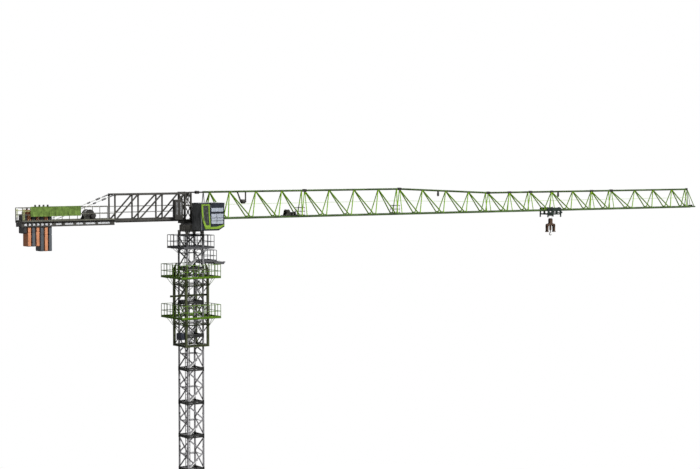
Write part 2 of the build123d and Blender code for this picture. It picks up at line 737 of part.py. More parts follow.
# Limiter hanger and rope rollers under the top chord
with BuildPart() as rope_rollers:
    under = chord_z + jib_depth - chord / 2
    bars = [block((2380, 2660), (-45, 45), (chord_z + 610, chord_z + 730)),
            bar((2240, 0, under), (2400, 0, chord_z + 690), 30),
            bar((2640, 0, under), (2640, 0, chord_z + 690), 30)]
    taper_start, taper_length = jib_start + 10000, 5000
    fall = (jib_depth - jib_depth_outer) / taper_length
    for x, depth in ((12720, jib_depth - fall * (12720 - taper_start)), (19760, jib_depth_outer)):
        line = chord_z + depth
        bars.append(block((x - 25, x + 25), (-25, 25), (line - 130, line)))
        bars.append(block((x - 45, x + 45), (-30, 30), (line - 255, line - 110)))
    add(bars)
    add(bar((taper_start, 0, chord_z + jib_depth), (taper_start + taper_length, 0, chord_z + jib_depth_outer), chord),
        mode=Mode.SUBTRACT)
    for x, depth in ((0, jib_depth), (taper_start + taper_length, jib_depth_outer)):
        line = chord_z + depth
        add(bar((x, 0, line), (x + taper_start, 0, line), chord), mode=Mode.SUBTRACT)
save(rope_rollers, "rope_rollers")

# Trolley: two cut-out side plates round the lower chords, four wheels on the chords' outer edges
x = trolley_x
half, side = trolley_length / 2, trolley_width / 2
leg = 40
with BuildPart() as trolley_frame:
    top, low, foot = chord_z + trolley_rise, chord_z - trolley_drop, chord_z - leg_drop
    outline = [(x - half, top - 40), (x - half + leg, top), (x + half - leg, top), (x + half, top - 40),
               (x + half + 70, chord_z - 100), (x + half + 70, chord_z - 150), (x + half, chord_z - 170),
               (x + half, foot), (x + half - leg, foot), (x + half - leg, low), (x - half + leg, low),
               (x - half + leg, foot), (x - half, foot)]
    for plane_y in (-side + trolley_plate, side):
        with BuildSketch(Plane.XZ.offset(-plane_y)):
            with BuildLine():
                Polyline(*outline, outline[0])
            make_face()
            for at, length in ((-260, 150), (0, 160), (255, 140)):
                with Locations((x + at, chord_z - 110)):
                    Rectangle(length, 110, mode=Mode.SUBTRACT)
        extrude(amount=trolley_plate)
    bars = []
    for at in (x - half, x - rope_at - 20, x + rope_at - 20, x + half - leg):
        bars.append(block((at, at + leg), (-side, side), (low, low + 50)))
    add(bars)
save(trolley_frame, "trolley_frame")

with BuildPart() as trolley_wheels:
    axle_z = chord_top + running_gap + wheel_radius
    start = jib_width / 2 + 6
    for at in (x - half + 110, x + half - 110):
        for s in (-1, 1):
            add(rod((at, s * start, axle_z), (at, s * (start + wheel_width), axle_z), wheel_radius))
            add(rod((at, s * start, axle_z), (at, s * (side - trolley_plate), axle_z), 14))
save(trolley_wheels, "trolley_wheels")

# Hook block: two cheeks round the sheave, a yoke between them, two splayed legs and the swivel housing
yoke = yoke_width / 2
cheek = 20
with BuildPart() as hook_block:
    cheeks = [(x - 45, block_top), (x + 45, block_top), (x + 85, sheave_z + 40), (x + 85, yoke_top + 30),
              (x + 250, yoke_top), (x + 250, yoke_bottom), (x - 250, yoke_bottom), (x - 250, yoke_top),
              (x - 85, yoke_top + 30), (x - 85, sheave_z + 40)]
    for plane_y in (-yoke + cheek, yoke):
        with BuildSketch(Plane.XZ.offset(-plane_y)):
            with BuildLine():
                Polyline(*cheeks, cheeks[0])
            make_face()
        extrude(amount=cheek)
    add(block((x - 250, x + 250), (-yoke, yoke), (yoke_bottom, yoke_top - 25)))
    housing = (-housing_side / 2, housing_side / 2)
    add(block((x + housing[0], x + housing[1]), housing, (housing_bottom, yoke_bottom)))
    leg_bottom, flare = chord_z - 1045, chord_z - 975
    for s in (-1, 1):
        with BuildSketch(Plane.XZ.offset(-yoke)):
            with BuildLine():
                Polyline((x + s * 160, yoke_bottom), (x + s * 250, yoke_bottom), (x + s * 240, flare),
                         (x + s * 280, leg_bottom), (x + s * 140, leg_bottom), (x + s * 165, flare),
                         (x + s * 160, yoke_bottom))
            make_face()
        extrude(amount=yoke_width)
save(hook_block, "hook_block")

with BuildPart() as hook_sheaves:
    with BuildSketch(Plane.XZ.offset(-28)):
        with Locations((x, sheave_z)):
            Circle(sheave_radius)
    extrude(amount=56)
    with BuildSketch(Plane.XZ.offset(-yoke + cheek)):
        with Locations((x, sheave_z)):
            Circle(20)
    extrude(amount=yoke_width - 2 * cheek)
save(hook_sheaves, "hook_sheaves")

# Hook: a flat forged profile on the swivel's axis
hook_neck = housing_bottom - running_gap
bowl_z = hook_bottom + hook_outer
with BuildPart() as hook:
    with BuildSketch(Plane.XZ.offset(-hook_thickness / 2)):
        with Locations((x, bowl_z)):
            Circle(hook_outer)
            Circle(hook_inner, mode=Mode.SUBTRACT)
        with Locations((x + hook_outer / 2 + 13, bowl_z + hook_outer / 2 + 8)):
            Rectangle(hook_outer, hook_outer, mode=Mode.SUBTRACT)
        with Locations((x, (hook_neck + bowl_z + hook_inner + 8) / 2)):
            Rectangle(50, hook_neck - bowl_z - hook_inner - 8)
    extrude(amount=hook_thickness)
save(hook, "hook")

# Rope falls from the trolley to the block
with BuildPart() as rope_falls:
    for dx in (-rope_at, rope_at):
        add(rod((x + dx, 0, sheave_z), (x + dx, 0, chord_z - trolley_drop), rope_size / 2))
save(rope_falls, "rope_falls")
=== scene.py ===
from math import cos, pi, radians, sin
from types import SimpleNamespace

import bmesh
import bpy
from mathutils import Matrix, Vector


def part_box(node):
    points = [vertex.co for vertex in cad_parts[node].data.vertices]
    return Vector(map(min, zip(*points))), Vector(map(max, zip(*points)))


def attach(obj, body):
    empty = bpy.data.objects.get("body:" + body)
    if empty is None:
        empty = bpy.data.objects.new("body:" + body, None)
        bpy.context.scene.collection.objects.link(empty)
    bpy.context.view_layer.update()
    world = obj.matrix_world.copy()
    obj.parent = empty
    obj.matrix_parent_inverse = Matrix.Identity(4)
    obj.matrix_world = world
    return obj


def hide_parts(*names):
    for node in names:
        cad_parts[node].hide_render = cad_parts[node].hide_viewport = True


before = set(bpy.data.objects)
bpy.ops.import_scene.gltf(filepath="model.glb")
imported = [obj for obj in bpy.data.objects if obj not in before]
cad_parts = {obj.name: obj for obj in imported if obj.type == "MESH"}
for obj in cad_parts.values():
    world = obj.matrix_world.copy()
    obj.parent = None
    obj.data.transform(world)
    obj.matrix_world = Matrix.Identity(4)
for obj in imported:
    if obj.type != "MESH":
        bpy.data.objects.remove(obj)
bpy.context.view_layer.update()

bl_info = {
    "name": "Tower crane looks",
    "version": (1, 0, 0),
    "blender": (4, 5, 0),
    "location": "View3D > Sidebar > Crane",
    "description": "Dresses the packed tower crane and sets its stage, lamps and camera",
    "category": "Object",
}

# Lengths below are millimetres of the 1:2 model; a finished mesh is scaled to metres.
MM = 0.001


def node_box(node, origin=(0, 0, 0)):
    """The lowest and highest corners of a CAD node in millimetres, measured from an origin."""
    low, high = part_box(node)
    return Vector(low) / MM - Vector(origin), Vector(high) / MM - Vector(origin)


# Levels and stations read from the packed model
MAST_FOOT = node_box("mast_lower")[0].z
MAST_HALF = node_box("mast_lower")[1].x
CHORD_Z = node_box("counter_jib_truss")[0].z + 30
JIB_START = node_box("jib_1")[0].x
SECTION = 1400
DECK_TOP = node_box("counter_jib_deck")[1].z
TRUSS_Y = 272.5
TRUSS_SIDES = (-TRUSS_Y, TRUSS_Y)
SLAB_START, SLAB_STEP = -7565, 178
AT_CHORD = (0, 0, CHORD_Z)
AT_DECK = (0, 0, DECK_TOP)
HUB = (0, 0, 0)
SIDES = (-1, 1)
ALONG_X, ALONG_Y, UP = (1, 0, 0), (0, 1, 0), Vector((0, 0, 1))

# Colours of trim that the panel leaves out
HATCH_WHITE = (0.75, 0.75, 0.74)
PUMP_BLUE = (0.022, 0.024, 0.034)
BEAM_GREY = (0.36, 0.36, 0.37)
STRIP_GREY = (0.34, 0.35, 0.36)
CAB_FRONT = (0.02, 0.024, 0.033)
WINDOW_TINT, DOOR_TINT, DUST = (0.03, 0.035, 0.04), (0.02, 0.025, 0.02), (0.35, 0.36, 0.36)
# Pale grey of the sheets at the deck's slots: painted light that stands in for the bright view through the
# slots
SLOT_LIGHT_GREY = (0.62, 0.63, 0.64)
FLAT_OLIVE = (0.4, 0.44, 0.2)
STAY_GREY = (0.42, 0.43, 0.38)
# Near-black of the first slab: painted shade for its end face that lies in shadow
END_SLAB_SHADE = (0.022, 0.022, 0.022)
SIGN_DIRT, PAINT_RUST, HOOK_RUST = (0.02, 0.03, 0.01), (0.12, 0.05, 0.025), (0.3, 0.12, 0.05)
# The paler lace green is a painted highlight on the rising laces; the safety line green is its own colour
LACE_HIGHLIGHT, LINE_GREEN = (0.3, 0.56, 0.02), (0.3, 0.5, 0.08)
SHEAVE_RED = (0.16, 0.035, 0.03)
FORGED = (0.05, 0.046, 0.042)


# User settings
def colour_setting(name, value, about):
    """A colour property with its default."""
    return bpy.props.FloatVectorProperty(name=name, description=about, default=value, size=3,
                                         subtype="COLOR", min=0, max=1)


def length_setting(name, value, about):
    """A length property, kept in metres; its default is given in millimetres."""
    return bpy.props.FloatProperty(name=name, description=about, default=value * MM, min=0,
                                   precision=4, subtype="DISTANCE")


class CraneColours(bpy.types.PropertyGroup):
    """Paint and metal colours of the crane."""
    mast: colour_setting("Mast", (0.255, 0.25, 0.26), "Pale grey paint of the mast")
    mast_joint: colour_setting("Mast joints", (0.026, 0.026, 0.025), "Dark frames at the mast joints")
    cage: colour_setting("Climbing cage", (0.062, 0.072, 0.035), "Dark olive paint of the climbing cage")
    platform: colour_setting("Cage platforms", (0.1, 0.2, 0.014), "Green of the cage platforms")
    top_platform: colour_setting("Upper platforms", (0.085, 0.085, 0.09), "Grey of the upper platforms")
    gear: colour_setting("Slewing gear", (0.05, 0.048, 0.043), "Dark paint of the gear and the counter-jib")
    rail: colour_setting("Counter-jib rails", (0.13, 0.13, 0.1), "Grey of the counter-jib railings")
    sign: colour_setting("Sign panel", (0.1, 0.16, 0.035), "Green of the bare sign panel")
    jib_lace: colour_setting("Jib laces", (0.14, 0.275, 0.008), "Yellow-green of the jib's laces")
    jib_chord: colour_setting("Jib chords", (0.024, 0.041, 0.013), "Grey-green of the jib's chords")
    cab: colour_setting("Cab body", (0.09, 0.094, 0.096), "Near-black of the cab")
    lime: colour_setting("Cab frame", (0.23, 0.38, 0.045), "Lime of the cab's door frame and skirt")
    blind: colour_setting("Cab blinds", (0.42, 0.46, 0.53), "Pale blue-grey of the window blinds")
    slab_orange: colour_setting("Orange slabs", (0.66, 0.27, 0.13), "Orange counterweights")
    slab_grey: colour_setting("Grey slabs", (0.082, 0.093, 0.105), "Blue-grey counterweights")
    trolley: colour_setting("Trolley", (0.013, 0.02, 0.016), "Dark green-grey of the trolley")
    hook: colour_setting("Hook block", (0.062, 0.04, 0.028), "Rusty red-brown of the hook block")
    steel: colour_setting("Bare steel", (0.3, 0.3, 0.3), "Ropes, pins and bolts")


class CraneSizes(bpy.types.PropertyGroup):
    """Sizes of the detail that the looks add."""
    brace_depth: length_setting("Mast brace", 52, "Depth of the mast's K braces in their plane")
    lace_tube: length_setting("Jib lace", 28, "Radius of the jib's lace tubes")
    rail_tube: length_setting("Rail tube", 12, "Radius of the railing tubes")
    rung_gap: length_setting("Rung spacing", 150, "Distance between the ladder's rungs")
    bolt: length_setting("Bolt", 9, "Radius of the bolt heads")
    line: length_setting("Safety line", 7, "Radius of the safety line along the jib")
    edge: length_setting("Edge", 2.5, "Width of the bevel on plates and blocks")


def settings():
    """The colours that are set in the scene, and its sizes in millimetres."""
    scene = bpy.context.scene
    lengths = {key: round(getattr(scene.crane_sizes, key) / MM, 3) for key in CraneSizes.__annotations__}
    return scene.crane_colours, SimpleNamespace(**lengths)


# Shader maths
class Sock:
    """A shader socket that takes part in Python arithmetic."""

    def __init__(self, tree, socket):
        self.tree, self.socket = tree, socket

    def maths(self, operation, *values):
        """A Math node fed with sockets and numbers."""
        node = self.tree.nodes.new("ShaderNodeMath")
        node.operation = operation
        for place, value in enumerate(values):
            if isinstance(value, Sock):
                self.tree.links.new(value.socket, node.inputs[place])
            else:
                node.inputs[place].default_value = value
        return Sock(self.tree, node.outputs[0])

    def __add__(self, other):
        return self.maths("ADD", self, other)

    def __sub__(self, other):
        return self.maths("SUBTRACT", self, other)

    def __mul__(self, other):
        return self.maths("MULTIPLY", self, other)

    def __gt__(self, other):
        return self.maths("GREATER_THAN", self, other)

    def clamp(self):
        """The value held between nought and one."""
        return self.maths("MINIMUM", self.maths("MAXIMUM", self, 0.0), 1.0)

    def rise(self, low, high):
        """A ramp from nought at low to one at high."""
        return ((self - low) * (1 / (high - low))).clamp()


class Finish:
    """A node material that is written as expressions."""

    def __init__(self, name):
        self.material = bpy.data.materials.new(name)
        self.material.use_nodes = True
        self.tree = self.material.node_tree
        self.shader = self.tree.nodes["Principled BSDF"]
        self.place = self.node("ShaderNodeTexCoord", output="Object")

    def node(self, kind, settings=None, output=0, **values):
        """Adds one node: its settings first, then the values or links of its sockets."""
        node = self.tree.nodes.new(kind)
        for key, value in (settings or {}).items():
            setattr(node, key, value)
        for key, value in values.items():
            self.fill(node.inputs[key.replace("_", " ")], value)
        return Sock(self.tree, node.outputs[output])

    def fill(self, socket, value):
        """Links a socket or sets its value."""
        if isinstance(value, Sock):
            self.tree.links.new(value.socket, socket)
        elif hasattr(value, "__len__") and len(value) == 3 and len(socket.default_value) == 4:
            socket.default_value = (*value, 1.0)
        else:
            socket.default_value = value

    def noise(self, scale, detail=2.0, stretch=(1, 1, 1)):
        """Noise in object space, stretched along the axes."""
        place = self.node("ShaderNodeMapping", Vector=self.place, Scale=stretch)
        return self.node("ShaderNodeTexNoise", Vector=place, Scale=scale, Detail=detail)

    def mix(self, factor, first, second):
        """A blend of two colours."""
        node = self.tree.nodes.new("ShaderNodeMix")
        node.data_type = "RGBA"
        for socket, value in ((node.inputs[0], factor), (node.inputs[6], first), (node.inputs[7], second)):
            self.fill(socket, value)
        return Sock(self.tree, node.outputs[2])

    def bump(self, height, strength, distance=0.002):
        """Sends a height through a Bump node to the normal."""
        self.set(Normal=self.node("ShaderNodeBump", Strength=strength, Distance=distance, Height=height))

    def set(self, **values):
        """Sets or links sockets of the surface shader."""
        for key, value in values.items():
            self.fill(self.shader.inputs[key.replace("_", " ")], value)
        return self


def shade(colour, amount):
    """A colour made darker or lighter."""
    return tuple(min(1.0, c * amount) for c in colour)


def painted(name, colour, dark=0.55, pale=1.25, patch=1.4, wear=0.0, rust=PAINT_RUST, gloss=0.42):
    """Weathered paint: soft patches, rain streaks, specks of wear and a fine orange-peel bump."""
    finish = Finish(name)
    finish.set(Specular_IOR_Level=0.12)
    patches = finish.noise(patch, 3)
    streaks = finish.noise(5, 2, (6, 6, 0.7))
    base = finish.mix(patches.rise(0.3, 0.7), shade(colour, pale), shade(colour, 1))
    base = finish.mix(streaks.rise(0.45, 0.8) * 0.8, base, shade(colour, dark))
    if wear:
        base = finish.mix(finish.noise(70, 2) > 1 - wear, base, rust)
    finish.set(Base_Color=base, Roughness=streaks * 0.3 + gloss)
    finish.bump(finish.noise(160, 2), 0.12, 0.001)
    return finish.material


def bare_steel(name, colour, rough=0.35):
    """Brushed, oily steel with dull patches."""
    finish = Finish(name)
    brush = finish.noise(40, 2, (1, 1, 12))
    dull = finish.noise(6, 3)
    finish.set(Base_Color=finish.mix(dull.rise(0.35, 0.7), shade(colour, 1.3), shade(colour, 0.5)),
               Roughness=dull * 0.3 + rough, Metallic=0.85)
    finish.bump(brush, 0.15, 0.0005)
    return finish.material


def cast_slab(name, colour):
    """Painted concrete: pores, cement bloom and dirt that runs down."""
    finish = Finish(name)
    bloom = finish.noise(3, 4)
    dirt = finish.noise(4, 3, (5, 5, 0.5))
    pores = finish.noise(90, 2)
    base = finish.mix(bloom.rise(0.3, 0.75), shade(colour, 1.2), shade(colour, 0.85))
    base = finish.mix(dirt.rise(0.5, 0.85) * 0.7, base, shade(colour, 0.45))
    base = finish.mix(pores.rise(0.62, 0.7) * 0.5, base, shade(colour, 0.4))
    finish.set(Base_Color=base, Roughness=bloom * 0.2 + 0.65)
    finish.bump(pores, 0.4, 0.002)
    return finish.material


def window_glass(name, colour, alpha):
    """Tinted pane with a little dust."""
    finish = Finish(name)
    dust = finish.noise(9, 3)
    finish.set(Base_Color=finish.mix(dust.rise(0.5, 0.8) * 0.4, colour, DUST),
               Roughness=dust * 0.15 + 0.05, Alpha=alpha, Specular_IOR_Level=0.6)
    return finish.material


# Mesh forms
def circle(radius, sides=10, turn=0.0):
    """A regular outline."""
    angles = [2 * pi * i / sides + turn for i in range(sides)]
    return [(radius * cos(angle), radius * sin(angle)) for angle in angles]


def spool(*half):
    """A turned profile that is the same on both sides, from its outer end to the middle."""
    return [(r, -h) for r, h in half] + list(reversed(half))


def about(middle, reach):
    """The limits of a length about its middle."""
    return middle - reach, middle + reach


def rectangle(width, height):
    """A rectangular outline about its centre."""
    w, h = width / 2, height / 2
    return [(-w, -h), (w, -h), (w, h), (-w, h)]


def rounded(width, height, corner):
    """A rectangle with cut corners."""
    w, h, c = width / 2, height / 2, corner
    return [(-w + c, -h), (w - c, -h), (w, -h + c), (w, h - c),
            (w - c, h), (-w + c, h), (-w, h - c), (-w, -h + c)]


def channel(width, height, wall):
    """A C outline, open on its right."""
    w, h, t = width / 2, height / 2, wall
    return [(-w, -h), (w, -h), (w, -h + t), (-w + t, -h + t),
            (-w + t, h - t), (w, h - t), (w, h), (-w, h)]


def girder(width, height, wall):
    """An I outline."""
    w, h, t = width / 2, height / 2, wall
    return [(-w, -h), (w, -h), (w, -h + t), (t / 2, -h + t), (t / 2, h - t), (w, h - t), (w, h),
            (-w, h), (-w, h - t), (-t / 2, h - t), (-t / 2, -h + t), (-w, -h + t)]


class Form:
    """Collects the closed bars, plates and turned shapes of one mesh, in millimetres from an origin."""

    def __init__(self, origin=(0, 0, 0)):
        self.origin = Vector(origin)
        self.points, self.faces = [], []

    def rings(self, rings):
        """Joins rings of points of one length into a closed skin."""
        first = len(self.points)
        count = len(rings[0])
        for ring in rings:
            self.points.extend(self.origin + Vector(p) for p in ring)
        for r in range(len(rings) - 1):
            for i in range(count):
                j = (i + 1) % count
                a, b = first + r * count, first + (r + 1) * count
                self.faces.append((a + i, a + j, b + j, b + i))
        last = first + (len(rings) - 1) * count
        self.faces.append(tuple(first + i for i in range(count)))
        self.faces.append(tuple(last + i for i in range(count)))

    def sweep(self, outline, start, end, up=(0, 0, 1), grow=1.0):
        """An outline carried from start to end; its second axis leans towards up."""
        start, end, up = Vector(start), Vector(end), Vector(up)
        run = (end - start).normalized()
        if abs(run.dot(up)) > 0.995:
            up = Vector((0, 1, 0)) if abs(run.y) < 0.9 else Vector((1, 0, 0))
        side = run.cross(up).normalized()
        lift = side.cross(run)
        self.rings([[place + side * (u * size) + lift * (v * size) for u, v in outline]
                    for place, size in ((start, 1.0), (end, grow))])

    def tube(self, start, end, radius, sides=8, end_radius=None):
        """A round bar."""
        self.sweep(circle(radius, sides), start, end, grow=(end_radius or radius) / radius)

    def pin(self, place, half, radius, sides=12, axis=ALONG_Y):
        """A round bar that sticks out of a place by half its length to each side."""
        place, run = Vector(place), Vector(axis) * half
        self.tube(place - run, place + run, radius, sides)

    def bar(self, start, end, width, height=None, up=(0, 0, 1)):
        """A bar with slightly cut corners."""
        height = height or width
        self.sweep(rounded(width, height, min(width, height) * 0.12), start, end, up)

    def block(self, x, y, z, cut=0):
        """A box between limits on each axis, in any order, its upright edges cut back."""
        middle_x, middle_y = (x[0] + x[1]) / 2, (y[0] + y[1]) / 2
        w, h = abs(x[1] - x[0]), abs(y[1] - y[0])
        outline = rounded(w, h, cut) if cut else rectangle(w, h)
        self.rings([[(middle_x + u, middle_y + v, level) for u, v in outline] for level in z])

    def plate(self, corners, shift):
        """A flat polygon given thickness by a shift."""
        shift = Vector(shift)
        self.rings([corners, [Vector(c) + shift for c in corners]])

    def wall(self, y, thick, *corners):
        """A plate that stands in the crane's long plane, from its (x, z) corners."""
        self.plate([(x, y, z) for x, z in corners], (0, thick, 0))

    def turned(self, profile, centre, sides=24, axis=ALONG_Y):
        """A profile of (radius, height) pairs turned about an axis."""
        axis, centre = Vector(axis).normalized(), Vector(centre)
        other = Vector((0, 0, 1)) if abs(axis.z) < 0.9 else Vector((1, 0, 0))
        side = axis.cross(other).normalized()
        lift = side.cross(axis)
        self.rings([[centre + axis * height + side * u + lift * v for u, v in circle(radius, sides)]
                    for radius, height in profile])

    def pipe(self, path, radius, sides=8):
        """A round bar along a bent line."""
        path = [Vector(p) for p in path]
        rings = []
        lift = None
        for i, place in enumerate(path):
            run = (path[min(i + 1, len(path) - 1)] - path[max(i - 1, 0)]).normalized()
            if lift is None:
                lift = Vector((0, 0, 1)) if abs(run.z) < 0.9 else Vector((0, 1, 0))
            side = run.cross(lift).normalized()
            lift = side.cross(run).normalized()
            rings.append([place + side * u + lift * v for u, v in circle(radius, sides)])
        self.rings(rings)

    def bolt(self, place, axis, radius=9, rise=8):
        """A hexagon head on its washer."""
        place, axis = Vector(place), Vector(axis).normalized()
        self.sweep(circle(radius * 1.5, 10), place, place + axis * rise * 0.3)
        self.sweep(circle(radius, 6), place, place + axis * rise)

    def publish(self, name, slot, material, replaces=(), edge=0.0, body="upperworks"):
        """Makes the mesh object, gives it its finish and ties it to its body."""
        work = bmesh.new()
        verts = [work.verts.new(p * MM) for p in self.points]
        for face in self.faces:
            work.faces.new([verts[i] for i in face])
        bmesh.ops.recalc_face_normals(work, faces=work.faces)
        mesh = bpy.data.meshes.new(name)
        work.to_mesh(mesh)
        work.free()
        mesh.shade_smooth()
        mesh.set_sharp_from_angle(angle=radians(35))
        mesh.materials.append(material)
        piece = bpy.data.objects.new(name, mesh)
        bpy.context.scene.collection.objects.link(piece)
        if edge:
            bevel = piece.modifiers.new("edge", "BEVEL")
            bevel.width, bevel.segments, bevel.limit_method = edge * MM, 1, "ANGLE"
            bevel.angle_limit = radians(40)
        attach(piece, body)
        if replaces:
            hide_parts(*replaces)
        return piece


def form_at(node):
    """A form that starts at the lowest corner of a CAD node, and the node's size."""
    low, high = node_box(node)
    return Form(low), high - low


def axle_of(node):
    """The middle of a drum, in the crane's long plane."""
    low, high = node_box(node)
    return Vector((low.x + high.x, 0, low.z + high.z)) / 2


def mirrored():
    """Both signs on two axes."""
    return [(x, y) for x in SIDES for y in SIDES]


def square(half, z):
    """The corners of a level square."""
    return [(-half, -half, z), (half, -half, z), (half, half, z), (-half, half, z)]


def pairs(corners):
    """Each corner with the next one round a closed line."""
    return list(zip(corners, corners[1:] + corners[:1]))


# Tower
def railing(form, corners, height, toe, gap, closed=False):
    """Tube posts, hand rail, knee rail and toe board along a line of corners at floor level."""
    radius = settings()[1].rail_tube
    lines = pairs([Vector(corner) for corner in corners])[:None if closed else -1]
    for a, b in lines:
        steps = max(1, round((b - a).length / gap))
        last_post = not closed and b == lines[-1][1]
        for k in range(steps + last_post):
            post = a.lerp(b, k / steps)
            form.tube(post, post + UP * (height - radius), radius * 1.15)
        for level in (0.5, 1.0):
            rise = UP * (height * level - radius)
            form.tube(a + rise, b + rise, radius)
        form.bar(a + UP * toe / 2, b + UP * toe / 2, 4, toe)


def grating(form, x, y, z, pitch, depth, wall=4):
    """A see-through floor: bearing bars one way and rods the other."""
    (x0, x1), (y0, y1) = x, y
    for a, b in pairs([(x0, y0, z), (x1, y0, z), (x1, y1, z), (x0, y1, z)]):
        form.bar(a, b, 8, depth + 6)
    steps = max(1, int((x1 - x0) / pitch))
    for i in range(1, steps):
        at = x0 + (x1 - x0) * i / steps
        form.sweep(rectangle(wall, depth), (at, y0, z), (at, y1, z))
    steps = max(1, int((y1 - y0) / (pitch * 1.5)))
    rod = z + depth / 2 - wall
    for i in range(1, steps):
        at = y0 + (y1 - y0) * i / steps
        form.sweep(rectangle(wall, wall), (x0, at, rod), (x1, at, rod))


def build_base():
    """Base cross of fabricated girders, foot plates with anchor bolts and raking struts."""
    colours, sizes = settings()
    paint = painted("base_paint", colours.mast, wear=0.3)
    form = Form()
    middle = UP * MAST_FOOT / 2
    for angle, parts in ((45, ((-1, 1),)), (135, ((-1, -0.055), (0.055, 1)))):
        reach = Vector((cos(radians(angle)), sin(radians(angle)), 0)) * 2000
        for start, end in parts:
            form.sweep(girder(216, MAST_FOOT, 14), reach * start + middle, reach * end + middle)
        across = Vector((-reach.y, reach.x, 0)).normalized()
        for share in (-0.9, -0.6, -0.3, 0.3, 0.6, 0.9):
            for s in SIDES:
                at = reach * share + across * s * 8 + middle
                form.sweep(rectangle(8, MAST_FOOT - 26), at, at + across * s * 96)
    foot_at = 2000 * cos(radians(45))
    for x, y in mirrored():
        anchor = Vector((x * (foot_at + 130), y * (foot_at + 130), 40))
        form.block(about(x * foot_at, 230), about(y * foot_at, 230), (0, 40), 30)
        form.bolt(anchor, UP, 24, 30)
        form.tube(anchor, anchor + UP * 65, 12)
        form.block((x * 270, x * 465), (y * 270, y * 465), (MAST_FOOT, MAST_FOOT + 12))
    form.publish("base_cross_frame", "mast_grey", paint, ("base_cross",), sizes.edge, "tower")
    struts = Form()
    low, high = node_box("base_struts")
    foot, head = low.x * -0.945, MAST_HALF + 35
    for x, y in mirrored():
        bottom = Vector((x * foot, y * foot, MAST_FOOT + 55))
        top = Vector((x * head, y * head, high.z - 70))
        struts.tube(bottom, top, 40, 14)
        run = (top - bottom).normalized()
        out = Vector((x, y, 0)).normalized()
        side = Vector((-out.y, out.x, 0))
        for place, lean in ((bottom, run), (top, -run)):
            struts.tube(place + lean * 20, place + lean * 90, 52, 14)
            struts.pin(place, 43.4, 17, 10, (-y, x, 0))
        for s in (-28, 22):
            for place, corners in ((bottom, ((-80, -55), (80, -55), (45, 45), (-45, 45))),
                                   (top, ((-62, -70), (-62, 70), (30, 40), (30, -60)))):
                struts.plate([place + side * s + out * u + UP * v for u, v in corners], side * 8)
    struts.publish("base_raking_struts", "mast_grey", paint, ("base_struts",), sizes.edge, "tower")


def build_mast():
    """Ten lattice sections: posts, K braces, dark joint frames with sleeves and bolts, inner ladder."""
    colours, sizes = settings()
    paint = painted("mast_paint", colours.mast, dark=0.45, pale=1.3, patch=2.2, wear=0.27)
    joint_paint = painted("mast_joint_paint", colours.mast_joint, dark=0.6, pale=1.6, patch=3)
    p = MAST_HALF - 32.5
    for node, first, last in (("mast_lower", 0, 3), ("mast_middle", 3, 6), ("mast_upper", 6, 10)):
        form, joints = Form(), Form()
        for k in range(first, last):
            z = MAST_FOOT + k * SECTION
            top, middle = z + SECTION, z + SECTION / 2
            for x, y in mirrored():
                form.bar((x * p, y * p, z), (x * p, y * p, top), 64, up=ALONG_Y)
                for end, lean in ((z, 1), (top, -1)):
                    joints.block((x * p - (39.5 if x < 0 else 32.4), x * p + 32.4), about(y * p, 32.4),
                                 (end, end + lean * 92), 6)
                    for dz in (24, 66):
                        joints.bolt((x * (p + 32), y * (p - 16), end + lean * dz), (x, 0, 0), sizes.bolt)
                        joints.bolt((x * (p - 16), y * (p + 32), end + lean * dz), (0, y, 0), sizes.bolt)
                # Climbing lug on each post
                lug = top - 470
                form.block(about(x * p, 22), (y * (p + 30), y * (p + 32.4)), about(lug, 45))
                joints.block(about(x * p, 32), (y * (p - 45), y * (p - 28)), about(lug, 30))
            for level in (z + 36, top - 36):
                for a, b in pairs(square(p, level)):
                    joints.bar(a, b, 44, 62)
            for a, b in pairs([Vector(corner) for corner in square(p, middle)]):
                along = (b - a).normalized()
                out = Vector((along.y, -along.x, 0)) * 6
                for lift in (UP, -UP):
                    corner = a + lift * (SECTION / 2 - 78)
                    form.bar(corner, b, 36, sizes.brace_depth)
                    # Gusset where the brace meets its post
                    form.plate([corner + along * u - lift * v
                                for u, v in ((26, 0), (86, 0), (56, 90), (26, 100))], out)
                tip = b - along * 28
                form.plate([tip + UP * 80, tip - along * 62, tip - UP * 80], out)
        form.publish(node + "_lattice", "mast_grey", paint, (node,), body="tower")
        joints.publish(node + "_joints", "mast_grey", joint_paint, body="tower")
    low, high = node_box("mast_ladder")
    ladder, tall = Form((0, (low.y + high.y) / 2, low.z)), high.z - low.z
    for x in (-100, 100):
        ladder.bar((x, 0, 0), (x, 0, tall), 18, 38, ALONG_Y)
    for i in range(int((tall - 100) / sizes.rung_gap)):
        ladder.pin((0, 0, 80 + i * sizes.rung_gap), 100, 11, 6, ALONG_X)
    ladder.publish("mast_ladder_rungs", "mast_grey",
                   painted("ladder_paint", shade(colours.mast, 0.9), wear=0.25), ("mast_ladder",),
                   body="tower")
    rest, hatch = Form(), Form()
    for k in range(10):
        joint = MAST_FOOT + k * SECTION
        z = joint + SECTION / 2 - 60
        grating(rest, (-p + 40, p - 40), (20, p - 90), z, 60, 10)
        for x in (-p + 40, p - 40):
            rest.bar((x, -p + 30, z - 18), (x, p - 30, z - 18), 24)
        rest.pin((0, 15, z - 18), p, 9, 8, ALONG_X)
        if k:
            hatch.bar((-108, -60, joint + 50), (230, -60, joint + 350), 30, 90, ALONG_Y)
    rest.publish("mast_rest_floors", "mast_grey",
                 painted("rest_floor_paint", shade(colours.mast, 0.8), wear=0.3), body="tower")
    hatch.publish("mast_ladder_hatches", "mast_grey", painted("hatch_paint", HATCH_WHITE, dark=0.7),
                  body="tower")


